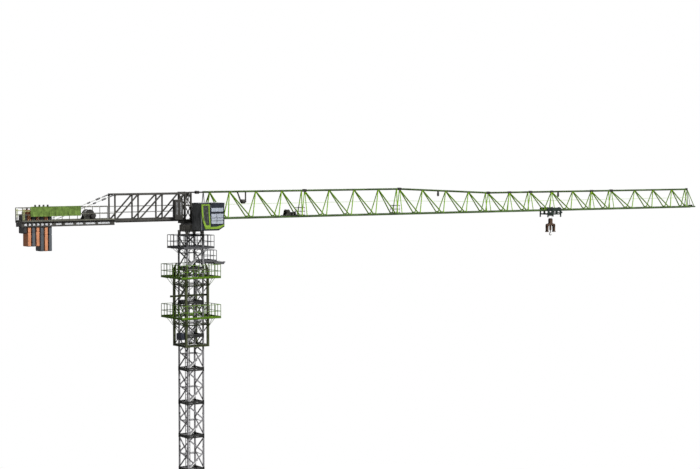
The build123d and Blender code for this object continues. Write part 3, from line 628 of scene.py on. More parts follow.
def build_cage():
    """Climbing cage: tube posts, rings, lattice, shoes, ears, cross beam, cylinder and pump unit."""
    colours = settings()[0]
    paint = painted("cage_paint", colours.cage, dark=0.45, pale=1.5, patch=3, wear=0.28)
    low, high = node_box("climbing_cage")
    c, bottom, top, ear_z = high.x - 50, low.z, 12820, 13060
    levels = (0, 885, 1705, 2525, 3170)
    ear, shoe = MAST_HALF + 32, MAST_HALF - 32
    form = Form()
    for a, b in pairs(square(c, bottom + 50)):
        form.sweep(channel(96, 98, 10), a, b)
    for x, y in mirrored():
        form.bar((x * c, y * c, bottom), (x * c, y * c, top), 98, up=ALONG_Y)
        form.block(about(x * c, 50), about(y * c, 50), (bottom, bottom + 14), 10)
        lug = ((c - 46, top - 130), (c + 44, top - 20), (ear + 22, ear_z), (ear - 4, ear_z + 8))
        form.plate([(x * r, y * r, z) for r, z in lug], (x * 9, y * -9, 0))
        form.bar((x * c, y * c, top - 40), (x * ear, y * ear, ear_z - 10), 44)
        for level in (885, 2525):
            z = bottom + level + 25
            form.bar((x * shoe, y * MAST_HALF, z), (x * shoe, y * c, z), 58, 48)
            form.bar((x * MAST_HALF, y * shoe, z), (x * c, y * shoe, z), 58, 48)
    for n, level in enumerate(levels):
        for a, b in pairs([Vector(corner) for corner in square(c, bottom + level + 25)]):
            form.bar(a, b, 48)
            if n % 2:
                form.bar(a + UP * 62, b + UP * 62, 22)
    for i in range(len(levels) - 1):
        z0, z1 = bottom + levels[i] + 50, bottom + levels[i + 1]
        middle = (z0 + z1) / 2
        flip = c if i % 2 else -c
        for s in SIDES:
            form.tube((s * c, -flip, z0), (s * c, flip, z1), 20, 10)
            form.tube((s * c, 0, middle), (s * c, -flip, z1), 13)
        form.tube((-flip, c, z0), (flip, c, z1), 20, 10)
        form.tube((0, c, middle), (-flip, c, z1), 13)
        for x, y in mirrored():
            for z in (z0 + 30, z1 - 30):
                form.plate([(x * (c + 50), y * (c - inset), z + rise)
                            for inset, rise in ((48, -60), (150, -10), (150, 10), (48, 60))], (x * 5, 0, 0))
    form.publish("climbing_cage_frame", "cage_dark", paint, ("climbing_cage",), body="tower")
    low, high = node_box("climbing_beam")
    beam, y, z = Form(), (low.y + high.y) / 2, (low.z + high.z) / 2
    beam.sweep(channel(high.y - low.y, high.z - low.z, 9), (low.x, y, z), (high.x, y, z))
    for x in range(int(low.x) + 60, int(high.x), 180):
        beam.block((x, x + 8), (low.y + 4, high.y - 2), (low.z + 8, high.z - 8))
    beam.publish("climbing_cross_beam", "cage_dark", paint, ("climbing_beam",), 1.5, "tower")
    jack = Form((0, -(MAST_HALF + c - 50) / 2, high.z))
    for z0, z1, radius, sides in ((0, 560, 26, 16), (540, 1000, 16, 14), (520, 560, 31, 16)):
        jack.tube((0, 0, z0), (0, 0, z1), radius, sides)
    jack.bar((-MAST_HALF, 0, 1010), (MAST_HALF, 0, 1010), 36, 60)
    jack.publish("climbing_cylinder", "cage_dark", bare_steel("cylinder_steel", colours.steel),
                 body="tower")
    pump, (x, y, z) = form_at("pump_unit")
    pump.block((0, x - 8), (0, y), (0, z - 60), 12)
    pump.block((x - 12, x), (20, y - 20), (20, 220))
    pump.block((12, x - 14), (14, y - 14), (z - 62, z - 40), 10)
    pump.tube((60, 60, z - 44), (60, 230, z - 44), 42, 18)
    for k in range(7):
        pump.pin((60, 83 + k * 20, z - 44), 3, 44, 18)
    for k in range(9):
        rib = (34 + k * 22, 44 + k * 22)
        pump.block((20, x - 26), (-4, 2), rib)
        pump.block((-4, 2), (40, y - 40), rib)
    pump.publish("pump_tank", "cage_dark", painted("pump_paint", PUMP_BLUE, dark=0.6, pale=2.0),
                 ("pump_unit",), 2, "tower")


def ring_platform(name, slot, paint, floor_paint, height, brace, hole):
    """A ring of grating round a square hole, with its frame, braces and railing."""
    high = node_box(name)[1]
    half, level = high.x, (0, 0, high.z - height)
    form, floor = Form(level), Form(level)
    for x, y in (((-half, half), (-half, -hole)), ((-half, half), (hole, half)),
                 ((-half, -hole), (-hole, hole)), ((hole, half), (-hole, hole))):
        grating(floor, x, y, -14, 46, 20)
    for edge, width in ((half - 6, 10), (hole + 12, 22)):
        for a, b in pairs(square(edge, -16)):
            form.bar(a, b, width, 30)
    foot, end = hole + 14, half - 60
    for s, t in mirrored():
        at = t * (hole - 40)
        form.bar((s * foot, at, 11 - brace), (s * end, at, -24), 17)
        form.bar((at, s * foot, 11 - brace), (at, s * end, -24), 17)
        form.bar((s * foot, at, -32), (s * (half - 10), at, -32), 20, 24)
        form.bar((at, s * foot, -32), (at, s * (half - 10), -32), 20, 24)
    railing(form, square(half - 12, 0), height - 1, 60, 270, True)
    form.publish(name + "_frame", slot, paint, (name,), body="tower")
    floor.publish(name + "_floor", slot, floor_paint, body="tower")


def build_platforms():
    """The two cage platforms, the platform below the slewing gear and the feeding platform."""
    colours = settings()[0]
    green = painted("platform_green", colours.platform, dark=0.4, pale=1.35, patch=4, wear=0.25)
    olive = painted("platform_floor", shade(colours.platform, 0.7), dark=0.5, wear=0.3)
    grey = painted("platform_grey_paint", colours.top_platform, dark=0.5, pale=1.5, patch=4, wear=0.25)
    for name in ("cage_platform_lower", "cage_platform_upper"):
        ring_platform(name, "green", green, olive, 550, 360, 562.5)
    ring_platform("top_platform", "platform_grey", grey, grey, 535, 240, 400)
    high = node_box("feed_platform")[1]
    level = (0, 0, high.z - 475)
    near, reach, side, tip = 400, high.x - 500, high.y, high.x - 40
    form, beams = Form(level), Form(level)
    grating(form, (near, reach), (-side, side), -15, 46, 22)
    railing(form, [(near + 20, 12 - side, 0), (reach - 12, 12 - side, 0), (reach - 12, side - 12, 0),
                   (near + 20, side - 12, 0)], 474, 60, 260)
    beams.sweep(channel(58, 58, 8), (near + 30, -near, -60), (near + 30, near, -60))
    for y in (-230, 230):
        beams.sweep(channel(56, 58, 8), (near, y, -60), (high.x, y, -60))
        form.bar((reach - 80, y, -120), (high.x - 60, y, -120), 28, 58)
        form.tube((tip, y, -60), (tip, y, -100), 12, 10)
    form.pin((tip, 0, -60), 230, 14, 10)
    beams.publish("feed_platform_beams", "platform_grey",
                  painted("beam_pale_paint", BEAM_GREY, dark=0.4, patch=5, wear=0.3), body="tower")
    form.publish("feed_platform_frame", "platform_grey", grey, ("feed_platform",), body="tower")


# Slewing gear and counter-jib
def build_slewing():
    """Ribbed support with its bolted flange, toothed ring, turntable with drives, and the tower frame."""
    colours = settings()[0]
    paint = painted("gear_paint", colours.gear, dark=0.5, pale=1.9, patch=3, wear=0.25)
    low, high = node_box("slewing_support")
    form = Form((0, 0, low.z))
    floor, shelf, roof = 130, 180, high.z - low.z - 20
    for s in SIDES:
        form.block((-400, 400), (s * 220, s * 400), (floor, floor + 20))
        form.block((s * 220, s * 400), (-220, 220), (floor, floor + 20))
        form.plate([(x, s * y, roof - 20) for x, y in ((-400, 220), (400, 220), (400, 251), (251, 400),
                                                       (-251, 400), (-400, 251))], (0, 0, 20))
        form.block((s * 220, s * 400), (-220, 220), (roof - 20, roof))
        for at in (-240, -80, 80, 240):
            form.block(about(at, 8), (s * 372, s * 399), (floor + 20, roof - 20))
            form.block((s * 372, s * 399), about(at, 8), (floor + 20, roof - 20))
    for half, top in ((370, shelf), (225, roof)):
        for a, b in pairs(square(half, (floor + top) / 2)):
            form.sweep(rectangle(10, top - floor), a, b)
    corners = ((370, -281), (370, 281), (281, 370), (-281, 370), (-370, 281), (-370, -281), (-281, -370),
               (281, -370))
    for a, b in pairs([(x * 0.985, y * 0.985, (shelf + roof) / 2) for x, y in corners]):
        form.sweep(rectangle(10, roof - shelf), a, b)
    for x, y in mirrored():
        form.plate([(x * u, y * v, shelf - 8) for u, v in ((281, 370), (370, 281), (370, 370))], (0, 0, 8))
        form.block((x * 300, x * 400), (y * 300, y * 400), (0, shelf), 14)
        form.tube((x * 350, y * 295, 55), (x * 350, y * 404, 55), 24, 16)
        form.tube((x * 295, y * 350, 88), (x * 404, y * 350, 88), 24, 16)
        web = ((292, floor), (230, floor), (292, 40))
        form.plate([(x * u, y * 398, z) for u, z in web], (0, y * -10, 0))
        form.plate([(x * 398, y * u, z) for u, z in web], (x * -10, 0, 0))
    form.turned([(430, roof), (430, roof + 20)], HUB, 48, UP)
    for x, y in circle(412, 24):
        form.bolt((x, y, roof + 2), -UP, 9, 10)
    form.publish("slewing_support_frame", "gear_dark",
                 painted("support_paint", shade(colours.gear, 5.0), dark=0.5, pale=1.8, patch=4, wear=0.25),
                 ("slewing_support",), body="tower")
    low, high = node_box("slewing_ring")
    ring, tall = Form((0, 0, low.z)), high.z - low.z
    teeth = [circle(radius, 96, 2 * pi * share / 96)
             for share, radius in ((0.0, 408), (0.2, 419.5), (0.45, 419.5), (0.65, 408))]
    ring.rings([[(x, y, z) for tooth in zip(*teeth) for x, y in tooth] for z in (6, tall - 12)])
    for z0, z1 in ((0, 8), (tall - 14, tall)):
        ring.turned([(400, z0), (400, z1)], HUB, 48, UP)
    ring.publish("slewing_ring_teeth", "gear_dark", bare_steel("ring_steel", shade(colours.steel, 0.4)),
                 ("slewing_ring",), body="tower")
    base = node_box("turntable")[0].z
    table, lug = Form((0, 0, base)), CHORD_Z - base
    for y in (-264.9, 264.9):
        table.sweep(girder(70, 168, 12), (-450, y, 86), (500, y, 86))
    for x in (-415, -135, 130, 465):
        table.sweep(girder(68, 166, 12), (x, -290, 86), (x, 290, 86))
    for x in ((-450, -60), (300, 500)):
        table.block(x, (-300, 300), (160, 170))
    table.turned([(430, 0), (430, 60)], HUB, 48, UP)
    for s in SIDES:
        for y in (s * 225 - 30, s * 225 + 14):
            table.block((450, JIB_START), (y, y + 16), (lug - 60, lug + 40))
        table.pin((JIB_START - 30, s * 225, lug - 8), 34, 16, 14)
        table.block((60, 190), about(s * 200, 50), (160, 200), 12)
        drive = [(52, 200), (52, 360), (44, 375), (44, 500), (36, 515)]
        table.turned(drive, (125, s * 200, 0), 20, UP)
    table.publish("turntable_frame", "gear_dark", paint, ("turntable",))
    low, high = node_box("slewing_tower", AT_CHORD)
    back, front, mid, top = low.x + 35, high.x - 35, 560, high.z
    tower = Form(AT_CHORD)
    for x, foot in ((back, (back - 35, back + 48)), (front, (front - 48, front + 35))):
        for y in TRUSS_SIDES:
            tower.bar((x, y, low.z), (x, y, top), 68, up=ALONG_Y)
            tower.block(foot, about(y, 34), (low.z, low.z + 12))
            tower.bolt((x, y * 1.05, top - 30), UP, 10, 28)
        for z in (top - 35, mid):
            tower.bar((x, -TRUSS_Y, z), (x, TRUSS_Y, z), 60)
        tower.tube((x, -TRUSS_Y, 300), (x, TRUSS_Y, top - 100), 20, 10)
    for y in TRUSS_SIDES:
        tower.bar((back, y, top - 35), (front, y, top - 35), 66)
        tower.bar((back, y, mid), (front, y, mid), 50)
        for z0, z1 in ((low.z + 40, mid), (mid, top - 60)):
            tower.tube((back, y, z0), (front, y, z1), 20, 10)
            tower.tube((back, y, z1), (front, y, z0), 20, 10)
            x, z = (back + front) / 2, (z0 + z1) / 2
            tower.wall(y - 5, 10, (x - 60, z), (x, z + 60), (x + 60, z), (x, z - 60))
    # Head sheave between the front posts, and a ladder up the frame
    for y in (-62, 52):
        tower.wall(y, 10, (front - 70, top - 200), (front + 35, top - 170), (front + 35, top - 20),
                   (front - 60, top - 20))
    tower.turned(spool((95, 36), (95, 28), (78, 22)), (front - 20, 0, top - 120), 28)
    for y in (-60, 90):
        tower.bar((back + 70, y, low.z + 4), (back + 70, y, top - 60), 12, 26, ALONG_Y)
    for k in range(7):
        tower.pin((back + 70, 15, low.z + 120 + k * 140), 75, 7, 6)
    tower.publish("slewing_tower_frame", "gear_dark", paint, ("slewing_tower",))
    low, high = node_box("jib_link", AT_CHORD)
    link, z0, z1 = Form(AT_CHORD), high.z - 22, low.z + 22
    x, z = (low.x + high.x) / 2, (z0 + z1) / 2
    for y in (-22, 12):
        link.wall(y, 10, (low.x, z0 - 28), (high.x, z1 - 30), (high.x, z1 + 30), (low.x, z0 + 28))
    link.turned(spool((40, 100), (66, 84)), (x + 60, 0, z), 16, (high.x - low.x, 0, z1 - z0))
    for place in ((low.x + 22, 0, z0), (high.x - 22, 0, z1), (x, 0, z)):
        link.pin(place, 19, 15, 14)
    link.publish("jib_stay_link", "gear_dark", painted("link_paint", shade(colours.gear, 0.5), wear=0.2),
                 ("jib_link",))


def build_cabinet():
    """Electric cabinet: body, two doors with pale strips, hinges, handles, roof lip and cable glands."""
    colours = settings()[0]
    body, (x, y, z) = form_at("cabinet")
    middle = x / 2
    body.block((4, x - 4), (8, y), (0, z - 12), 6)
    body.block((0, x), (0, y), (z - 14, z), 4)
    for a, b, hinge in ((14, middle - 4, 20), (middle + 4, x - 14, x - 20)):
        body.block((a, b), (2, 10), (24, z - 36))
        for at in (90, z - 120):
            body.tube((hinge, 1, at), (hinge, 1, at + 46), 5)
        for k in range(6):
            body.block((a + 34, b - 34), (0, 4), (60 + k * 16, 66 + k * 16))
    body.publish("electric_cabinet", "cabinet_black",
                 painted("cabinet_paint", shade(colours.gear, 0.9), dark=0.6, pale=1.6, wear=0.25),
                 ("cabinet",), 2)
    strips = Form(body.origin)
    for at in (middle - 96, middle + 84):
        strips.block(about(at, 15), (0, 3), (190, z - 110))
        strips.block((at + 40, at + 52), (0, 3), (400, 500))
    strips.publish("cabinet_strips", "rail_grey", painted("strip_paint", STRIP_GREY), (), 1)


def curve_through(points, steps=6):
    """Points of a smooth line through the given (x, z) pairs."""
    line = []
    for i in range(len(points) - 1):
        p0, p1 = Vector(points[max(i - 1, 0)]), Vector(points[i])
        p2, p3 = Vector(points[i + 1]), Vector(points[min(i + 2, len(points) - 1)])
        for k in range(steps):
            t = k / steps
            line.append(0.5 * ((2 * p1) + (p2 - p0) * t + (2 * p0 - 5 * p1 + 4 * p2 - p3) * t * t
                               + (3 * p1 - p0 - 3 * p2 + p3) * t ** 3))
    line.append(Vector(points[-1]))
    return line


def build_cab():
    """Cab: walls with window openings, lime door frame and skirt, panes with blinds, roof and step."""
    colours = settings()[0]
    body_paint = painted("cab_paint", colours.cab, dark=0.6, pale=1.9, patch=4, gloss=0.3)
    lime = painted("cab_lime_paint", colours.lime, dark=0.6, pale=1.25, patch=5, gloss=0.25)
    front_paint = painted("cab_front_paint", CAB_FRONT, dark=0.6, pale=1.6, patch=4, gloss=0.3)
    # The cab is measured from the outer face of its near side and the jib's lower chords
    origin = (0, node_box("cab_roof")[0].y + 10, CHORD_Z)
    low, high = node_box("cab_shell", origin)
    x0, x1, y1, z0, z1 = low.x, high.x, high.y, low.z, high.z
    wall, knee, sill = 20, x1 - 275, z0 + 154
    shell, front = Form(origin), Form(origin)
    shell.wall(y1, -wall, (x0, z0), (knee, z0), (x1, sill), (x1, z1), (x0, z1))
    shell.block((x0, x0 + wall), (0, y1), (z0, z1))
    for (xa, za), (xb, zb) in (((x0, z0), (knee, z0)), ((knee, z0), (x1, sill))):
        shell.plate([(xa, 0, za), (xa, y1, za), (xb, y1, zb), (xb, 0, zb)], (0, 0, wall))
    # Near side: posts and bars round the door and the two windows
    zone = (0, wall)
    shell.block((x0, -122), zone, (z0, z1))
    for x, z in (((235, 312), (-360, z1)), ((878, x1), (z0 + 140, z1)), ((-122, 878), (z1 - 40, z1)),
                 ((312, 878), (473, z1 - 40)), ((312, 878), (233, 317))):
        front.block(x, zone, z)
    front.wall(0, wall, (-122, z0), (knee, z0), (x1, sill), (878, -188), (312, -188), (235, -165),
               (-122, -165))
    # Front: frame round the wide pane
    for y, z in (((0, 60), (sill, z1)), ((y1 - 60, y1), (sill, z1)), ((0, y1), (475, z1)),
                 ((0, y1), (sill, -190))):
        shell.block((x1 - wall, x1), y, z)
    # Raised frames of the side windows, rounded lower corner and hinge plates
    for z_low, z_high in ((-200, 245), (305, 485)):
        for a, b in pairs([(305, -2, z_low), (885, -2, z_low), (885, -2, z_high), (305, -2, z_high)]):
            front.bar(a, b, 8, 14, ALONG_Y)
    front.wall(2, 14, (312, -188), (392, -188), (352, -172), (326, -140), (312, -90))
    for z in (z0 + 340, z1 - 200):
        shell.block((276, 305), (-17, 2), (z, z + 60))
    # Hand rails and cable trunks on the rear wall
    for y in (90, y1 - 120):
        shell.pipe([(x0 - out, y, z0 + z) for out, z in ((0, 260), (18, 280), (18, 700), (0, 720))], 8)
    for z in (z0 + 120, z0 + 420, z0 + 720):
        shell.block((x0 - 6, x0), (150, y1 - 170), (z, z + 8))
    shell.publish("cab_walls", "cabinet_black", body_paint, ("cab_shell",), 2)
    front.publish("cab_near_side", "cabinet_black", front_paint, (), 2)
    trim = Form(origin)
    trim.wall(1, -9, (-20, -312), (560, -300), (x1 - 6, -214), (x1 - 4, -262), (660, -392), (20, -392))
    trim.plate([(x1 - 2, y, z) for y, z in ((0, -214), (y1, -214), (y1, -262), (0, -262))], (7, 0, 0))
    trim.publish("cab_skirt", "cab_lime", lime, (), 1.5)
    roof, (x, y, z) = form_at("cab_roof")
    roof.block((0, x), (0, y), (0, z - 8), 16)
    roof.block((60, x - 60), (60, y - 60), (z - 10, z), 24)
    roof.publish("cab_roof_panel", "cabinet_black", front_paint, ("cab_roof",), 4)
    glass, blinds, bars = Form(origin), Form(origin), Form(origin)
    for z in ((-190, 235), (315, 475)):
        glass.block((312, 878), (5, 11), z)
    glass.block((x1 - 13, x1 - 7), (60, y1 - 60), (-190, 475))
    glass.publish("cab_panes", "cab_glass", window_glass("cab_window_glass", WINDOW_TINT, 0.45),
                  ("cab_glass",))
    for first, last in ((-182, 228), (320, 470)):
        for z in range(first, last - 4, 26):
            blinds.plate([(316, 1, z + 2), (874, 1, z + 2), (874, 4, z + 27), (316, 4, z + 27)], (0, 2, 0))
    blinds.publish("cab_blinds", "cab_glass",
                   painted("blind_finish", colours.blind, dark=0.82, pale=1.1, patch=6, gloss=0.5))
    for z in (-62, 52):
        bars.block((314, 876), (-3, 1), (z, z + 16))
    bars.block((560, 568), (-1, 1), (-180, 228))
    bars.publish("cab_window_bars", "cabinet_black", front_paint)
    # Door: lime frame with a curved rear edge round a dark pane
    low, high = node_box("cab_door", origin)
    x, top, hinge = low.x, high.z, 263
    left = curve_through([(x + 2, top), (x + 12, 300), (x + 52, -20), (x + 150, -300), (x + 172, low.z)])
    inner = curve_through([(x + 78, top - 56), (x + 88, 280), (x + 122, 10), (x + 196, -170),
                           (x + 218, -236)])
    right = curve_through([(214, top), (222, 250), (246, -60), (254, low.z)])
    inner_right = curve_through([(160, top - 56), (168, 280), (190, 10), (206, -170), (208, -236)])
    last = len(left) - 1
    right = [right[round(i * (len(right) - 1) / last)] for i in range(last + 1)]
    rims = [[(v.x + shift, v.y) for v in line] for line, shift in ((inner, -4), (inner_right, 4))]
    door, edge, pane = Form(origin), Form(origin), Form(origin)
    for form, y, thick, a, b in ((door, -5, -24, left, inner), (door, -5, -24, inner_right, right),
                                 (pane, -10, -6, *rims)):
        for i in range(last):
            form.wall(y, thick, a[i], b[i], b[i + 1], a[i + 1])
    for i in (0, -1):
        door.wall(-5, -24, left[i], right[i], inner_right[i], inner[i])
    door.publish("cab_door_frame", "cab_lime", lime, ("cab_door",), body="cab_door_body")
    for z in (low.z + 4, top - 120, 60):
        edge.tube((hinge, -17.5, z), (hinge, -17.5, z + 110), 12.5, 12)
    for start, z in ((216, top - 90), (246, low.z + 40), (230, 100)):
        edge.block((start, hinge), (-22, -12), (z, z + 30))
    edge.pipe([(x + 96, -29, -60), (x + 96, -44, -50), (x + 84, -44, 90), (x + 84, -29, 100)], 7)
    edge.publish("cab_door_hinges", "cab_lime", body_paint, body="cab_door_body")
    pane.publish("cab_door_pane", "cab_glass", window_glass("cab_door_glass", DOOR_TINT, 0.8),
                 body="cab_door_body")
    arms = Form(AT_CHORD)
    low, high = node_box("cab_mount", AT_CHORD)
    far = y1 + origin[1]
    for x in (-110, 320):
        arms.sweep(channel(60, 75, 8), (x, -300, high.z - 37.5), (x, far, high.z - 37.5))
        arms.plate([(x - 20, y, high.z - z) for y, z in ((-300, 75), (-420, 75), (-300, 130))], (8, 0, 0))
    for x in (125, 290):
        arms.tube((x, -600, low.z + 6), (x, -600, z0), 8)
    for z in (low.z + 27, low.z + 137):
        arms.tube((115, -600, z), (300, -600, z), 8)
    arms.publish("cab_arms_and_step", "gear_dark", body_paint, ("cab_mount",))


def build_counter_jib():
    """Box truss, slotted deck with gratings, railings, stays with turnbuckles and the bare sign panel."""
    colours = settings()[0]
    paint = painted("counter_jib_paint", colours.gear, dark=0.45, pale=2.1, patch=2.5, wear=0.25)
    low, high = node_box("counter_jib_truss", AT_CHORD)
    x0, x1, top = low.x, high.x, high.z - 30
    posts = (-3610, -2570, -1475)
    form, lines = Form(AT_CHORD), Form(AT_CHORD)
    for y in TRUSS_SIDES:
        for z in (top, 0):
            form.bar((x0, y, z), (x1, y, z), 76)
        for x, after in zip(posts, (*posts[1:], x1)):
            form.bar((x, y, 0), (x, y, top), 58, up=ALONG_Y)
            form.bar((x, y, 0), (after, y, top), 56, up=ALONG_Y)
            for z, rise, wide, narrow in ((24, 86, 120, 70), (top - 24, -86, 62, 30)):
                form.wall(y - 4, 8, (x - 62, z), (x + wide, z), (x + narrow, z + rise), (x - 26, z + rise))
        for z in (335, 575):
            lines.tube((x0, y, z), (x1, y, z), 8)
    for z in (top, 0):
        for x in posts:
            form.bar((x, -TRUSS_Y, z), (x, TRUSS_Y, z), 44)
        for x in (x0 + 20, x1 - 60):
            for y in TRUSS_SIDES:
                form.block((x - 18, x + 58), (y - 34, y + 32.4), about(z, 30), 8)
    grating(form, (x0 + 10, x1), (-240, 240), 18, 90, 18)
    for s in SIDES:
        form.block((x0 + 60, x1), (s * 236, s * 242), (20, 78))
        form.sweep(channel(52, 34, 6), (x0 + 60, s * 262, -56), (x1, s * 262, -56))
    form.publish("counter_jib_truss_frame", "gear_dark", paint, ("counter_jib_truss",))
    lines.publish("truss_hand_lines", "rail_grey",
                  painted("hand_line_paint", shade(colours.rail, 0.5), dark=0.4))
    # Deck
    low, high = node_box("counter_jib_deck", AT_DECK)
    x0, x1 = low.x, high.x
    slots = ((-6204, -5946), (-5816, -5448), (-5317, -5016), (-4915, -4480), (-4374, -3842))
    holes = [SLAB_START + 71 + k * SLAB_STEP for k in range(7)]
    first, slot_z = slots[0][0], CHORD_Z - DECK_TOP - 62
    lower, upper = about(slot_z, 42)
    deck, slot_light = Form(AT_DECK), Form(AT_DECK)
    for s in SIDES:
        y = s * TRUSS_Y
        web = about(y, 5)
        for z in ((-12, 0), (low.z, low.z + 12)):
            deck.block((x0, x1), about(y, 20), z)
        for start, z in ((x0, (upper, -10)), (x0, (low.z + 10, -186)), (first, (-186, lower))):
            deck.block((start, x1), web, z)
        for (_, start), (end, _) in zip(slots, (*slots[1:], (x1, x1))):
            deck.block((start, end), web, (lower, upper))
        last = x0
        for hole in (*holes, first + 22):
            deck.block((last, hole - 22), web, (-186, upper))
            last = hole + 22
        for hole in holes:
            deck.block(about(hole, 22), web, (-142, upper))
            # Pale plates at the hanger holes are painted light for the bright view through the web
            slot_light.block(about(hole, 46), (y + s * 5, y + s * 12), (slot_z - 52, slot_z + 34), 12)
            slot_light.bolt((hole, y + s * 12, slot_z - 8), (0, s, 0), 13, 9)
        for a, b in slots:
            for x, lean in ((a, 19), (b, -19)):
                for z, up in ((lower, 19), (upper, -19)):
                    deck.wall(y - 5, 10, (x, z), (x + lean, z), (x, z + up))
            for x in (a - 30, b + 30):
                deck.bolt((x, y + s * 5, slot_z), (0, s, 0), 8)
            # Pale sheet behind each slot and a pale bar in it: painted light for the view through the slot
            slot_light.block((a - 8, b + 8), (y - s * 8, y - s * 13), (lower - 8, upper + 8))
            slot_light.block(about((a + b) / 2, 5), (y, y - s * 9), (lower, upper))
        grating(deck, (x0, x1), sorted((y + s * 20, s * (high.y - 4))), -8, 60, 14)
        for x in (x0, -7000, -6300, -5500, -4500, x1 - 40):
            bracket = ((TRUSS_Y, -16), (345, -16), (345, -34), (TRUSS_Y, -84))
            deck.plate([(x, s * across, z) for across, z in bracket], (8, 0, 0))
    for x in (x0 + 2, -6289, -5911, -5412, -4995, -4457, x1 - 60):
        deck.sweep(channel(56, 170, 8), (x + 30, -TRUSS_Y, -108), (x + 30, TRUSS_Y, -108))
    grating(deck, (-6289, x1), (-TRUSS_Y + 20, TRUSS_Y - 20), -8, 60, 14)
    deck.publish("counter_jib_deck_frame", "gear_dark", paint, ("counter_jib_deck",))
    # The pale sheets and plates are painted light that stands in for light seen through the deck's openings
    slot_light.publish("deck_painted_slot_light", "rail_grey",
                   painted("slot_light_paint", SLOT_LIGHT_GREY, dark=0.6, pale=1.2, patch=8, wear=0.2))
    low, high = node_box("counter_jib_rails")
    start, y = low.x, high.y - 12
    guard, ends = Form(AT_DECK), Form(AT_DECK)
    for s in SIDES:
        railing(guard, [(start + 16, s * y, 0), (x1 - 14, s * y, 0)], 549, 50, 620)
        side = s * (y - 4)
        for x in (start + 42, start + 98):
            ends.bar((x, side, 60), (x, side, 500), 26, 10, ALONG_Y)
        ends.bar((start + 20, side, 420), (start + 330, side, 420), 20, 30)
    railing(guard, [(start + 12, -y, 0), (start + 12, y, 0)], 549, 50, 520)
    ends.bar((start + 26, -y + 30, 260), (start + 26, y - 30, 260), 12, 34)
    ends.publish("end_railing_flats", "rail_grey",
                 painted("end_flat_paint", FLAT_OLIVE, dark=0.6, pale=1.15, patch=6, wear=0.15), (), 1)
    guard.publish("counter_jib_railings", "rail_grey",
                  painted("railing_paint", colours.rail, dark=0.35, pale=1.3, patch=3, wear=0.2),
                  ("counter_jib_rails",))
    stays, rods = Form(AT_DECK), Form(AT_DECK)
    for y in TRUSS_SIDES:
        foot, head = Vector((-6300, y, 30)), Vector((-3636, y, CHORD_Z - DECK_TOP + 1050))
        run = head - foot
        rods.tube(foot, head - run * 0.1, 11, 10)
        for t0, t1, radius in ((0.0, 0.1, 24), (0.145, 0.205, 38), (0.31, 0.35, 34)):
            tips = head - run * t0, head - run * t1
            stays.tube(*tips, radius, 12)
            for place in tips:
                stays.pin(place, radius + 5, 11, 10)
        for d in (-18, 10):
            stays.wall(y + d, 8, (-6345, 0), (-6245, 0), (-6272, 58), (-6322, 58))
        stays.pin((-6300, y, 32), 20, 12)
    rods.publish("stay_round_bars", "gear_dark",
                 painted("stay_bar_paint", STAY_GREY, dark=0.5, patch=9, wear=0.2))
    stays.publish("counter_jib_stay_rods", "gear_dark",
                  bare_steel("stay_steel", shade(colours.steel, 0.35)), ("counter_jib_stays",))
    sign, (x, y, z) = form_at("sign_panel")
    sign.block((8, x - 8), (6, y - 4), (8, z - 8))
    for a, b in pairs([(8, y / 2, 8), (x - 8, y / 2, 8), (x - 8, y / 2, z - 8), (8, y / 2, z - 8)]):
        sign.bar(a, b, 16, 19, ALONG_Y)
    for k in range(1, 8):
        sign.bar((x * k / 8, 5, 14), (x * k / 8, 5, z - 14), 10, 8, ALONG_Y)
    sign.publish("bare_sign_panel", "rail_grey",
                 painted("sign_paint", colours.sign, dark=0.3, pale=2.2, patch=7, wear=0.3, rust=SIGN_DIRT),
                 ("sign_panel",), 1)


def build_hoist():
    """Hoist winch: side plates, grooved drum with its rope, gear motor with cooling fins and brake."""
    colours = settings()[0]
    dark = painted("winch_paint", shade(colours.gear, 0.7), dark=0.5, pale=2.2, patch=6, wear=0.25)
    axle = axle_of("hoist_drum")
    low, high = node_box("hoist_winch", axle)
    form, drum, rope = Form(axle), Form(axle), Form(axle)
    for y, face, out in ((-230, -6, -1), (190, 46, 1)):
        form.wall(y, 40, (low.x, low.z), (high.x, low.z), (high.x, low.z + 70), (95, 40), (40, high.z),
                  (-40, high.z), (-95, 40), (low.x, low.z + 70))
        form.turned([(62, -6), (62, 46)], (0, y, 0))
        for x, z in circle(48, 6):
            form.bolt((x, y + face, z), (0, out, 0), 7, 6)
    for x in (low.x + 12, high.x - 12):
        form.pin((x, 0, low.z + 40), 230, 14)
    form.publish("hoist_winch_frame", "winch_dark", dark, ("hoist_winch",), 2)
    drum.turned(spool((30, 225), (30, 170), (205, 170), (205, 158), (150, 156)), HUB, 40)
    drum.publish("hoist_drum_shell", "winch_dark", dark, ("hoist_drum",), body="hoist_drum_body")
    angles = [pi * k / 10 for k in range(26 * 20 + 1)]
    rope.pipe([(156 * cos(a), -153 + 5.9 * a / pi, 156 * sin(a)) for a in angles], 5.5, 6)
    rope.publish("hoist_rope_on_drum", "rope_steel", bare_steel("rope_on_drum", colours.steel, 0.45),
                 body="hoist_drum_body")
    low, high = node_box("hoist_motor")
    shaft = ((low.x + high.x) / 2, 0, high.z - 110)
    motor, end, foot, half = Form(shaft), low.y, DECK_TOP - shaft[2], (high.x - low.x) / 2 - 40
    motor.turned([(60, -231), (106, -234), (106, -252), (98, -256), (98, end + 24), (108, end + 20),
                  (108, end + 6), (70, end)], HUB, 32)
    for x, z in circle(1, 24):
        out, across = Vector((x, 0, z)), Vector((-z, 0, x)) * 2
        fin = out * 103 + Vector((0, (end - 231) / 2, 0))
        motor.sweep(rectangle(44, 12), fin + across, fin - across, out)
    for x, z in circle(84, 6):
        motor.bolt((x, end + 3, z), (0, -1, 0), 7, 3)
    motor.block((-half, half), (-310, -232), (foot, foot + 40), 6)
    motor.block((-34, 34), (-300, -240), (60, 109), 8)
    motor.publish("hoist_gear_motor", "winch_dark", dark, ("hoist_motor",))


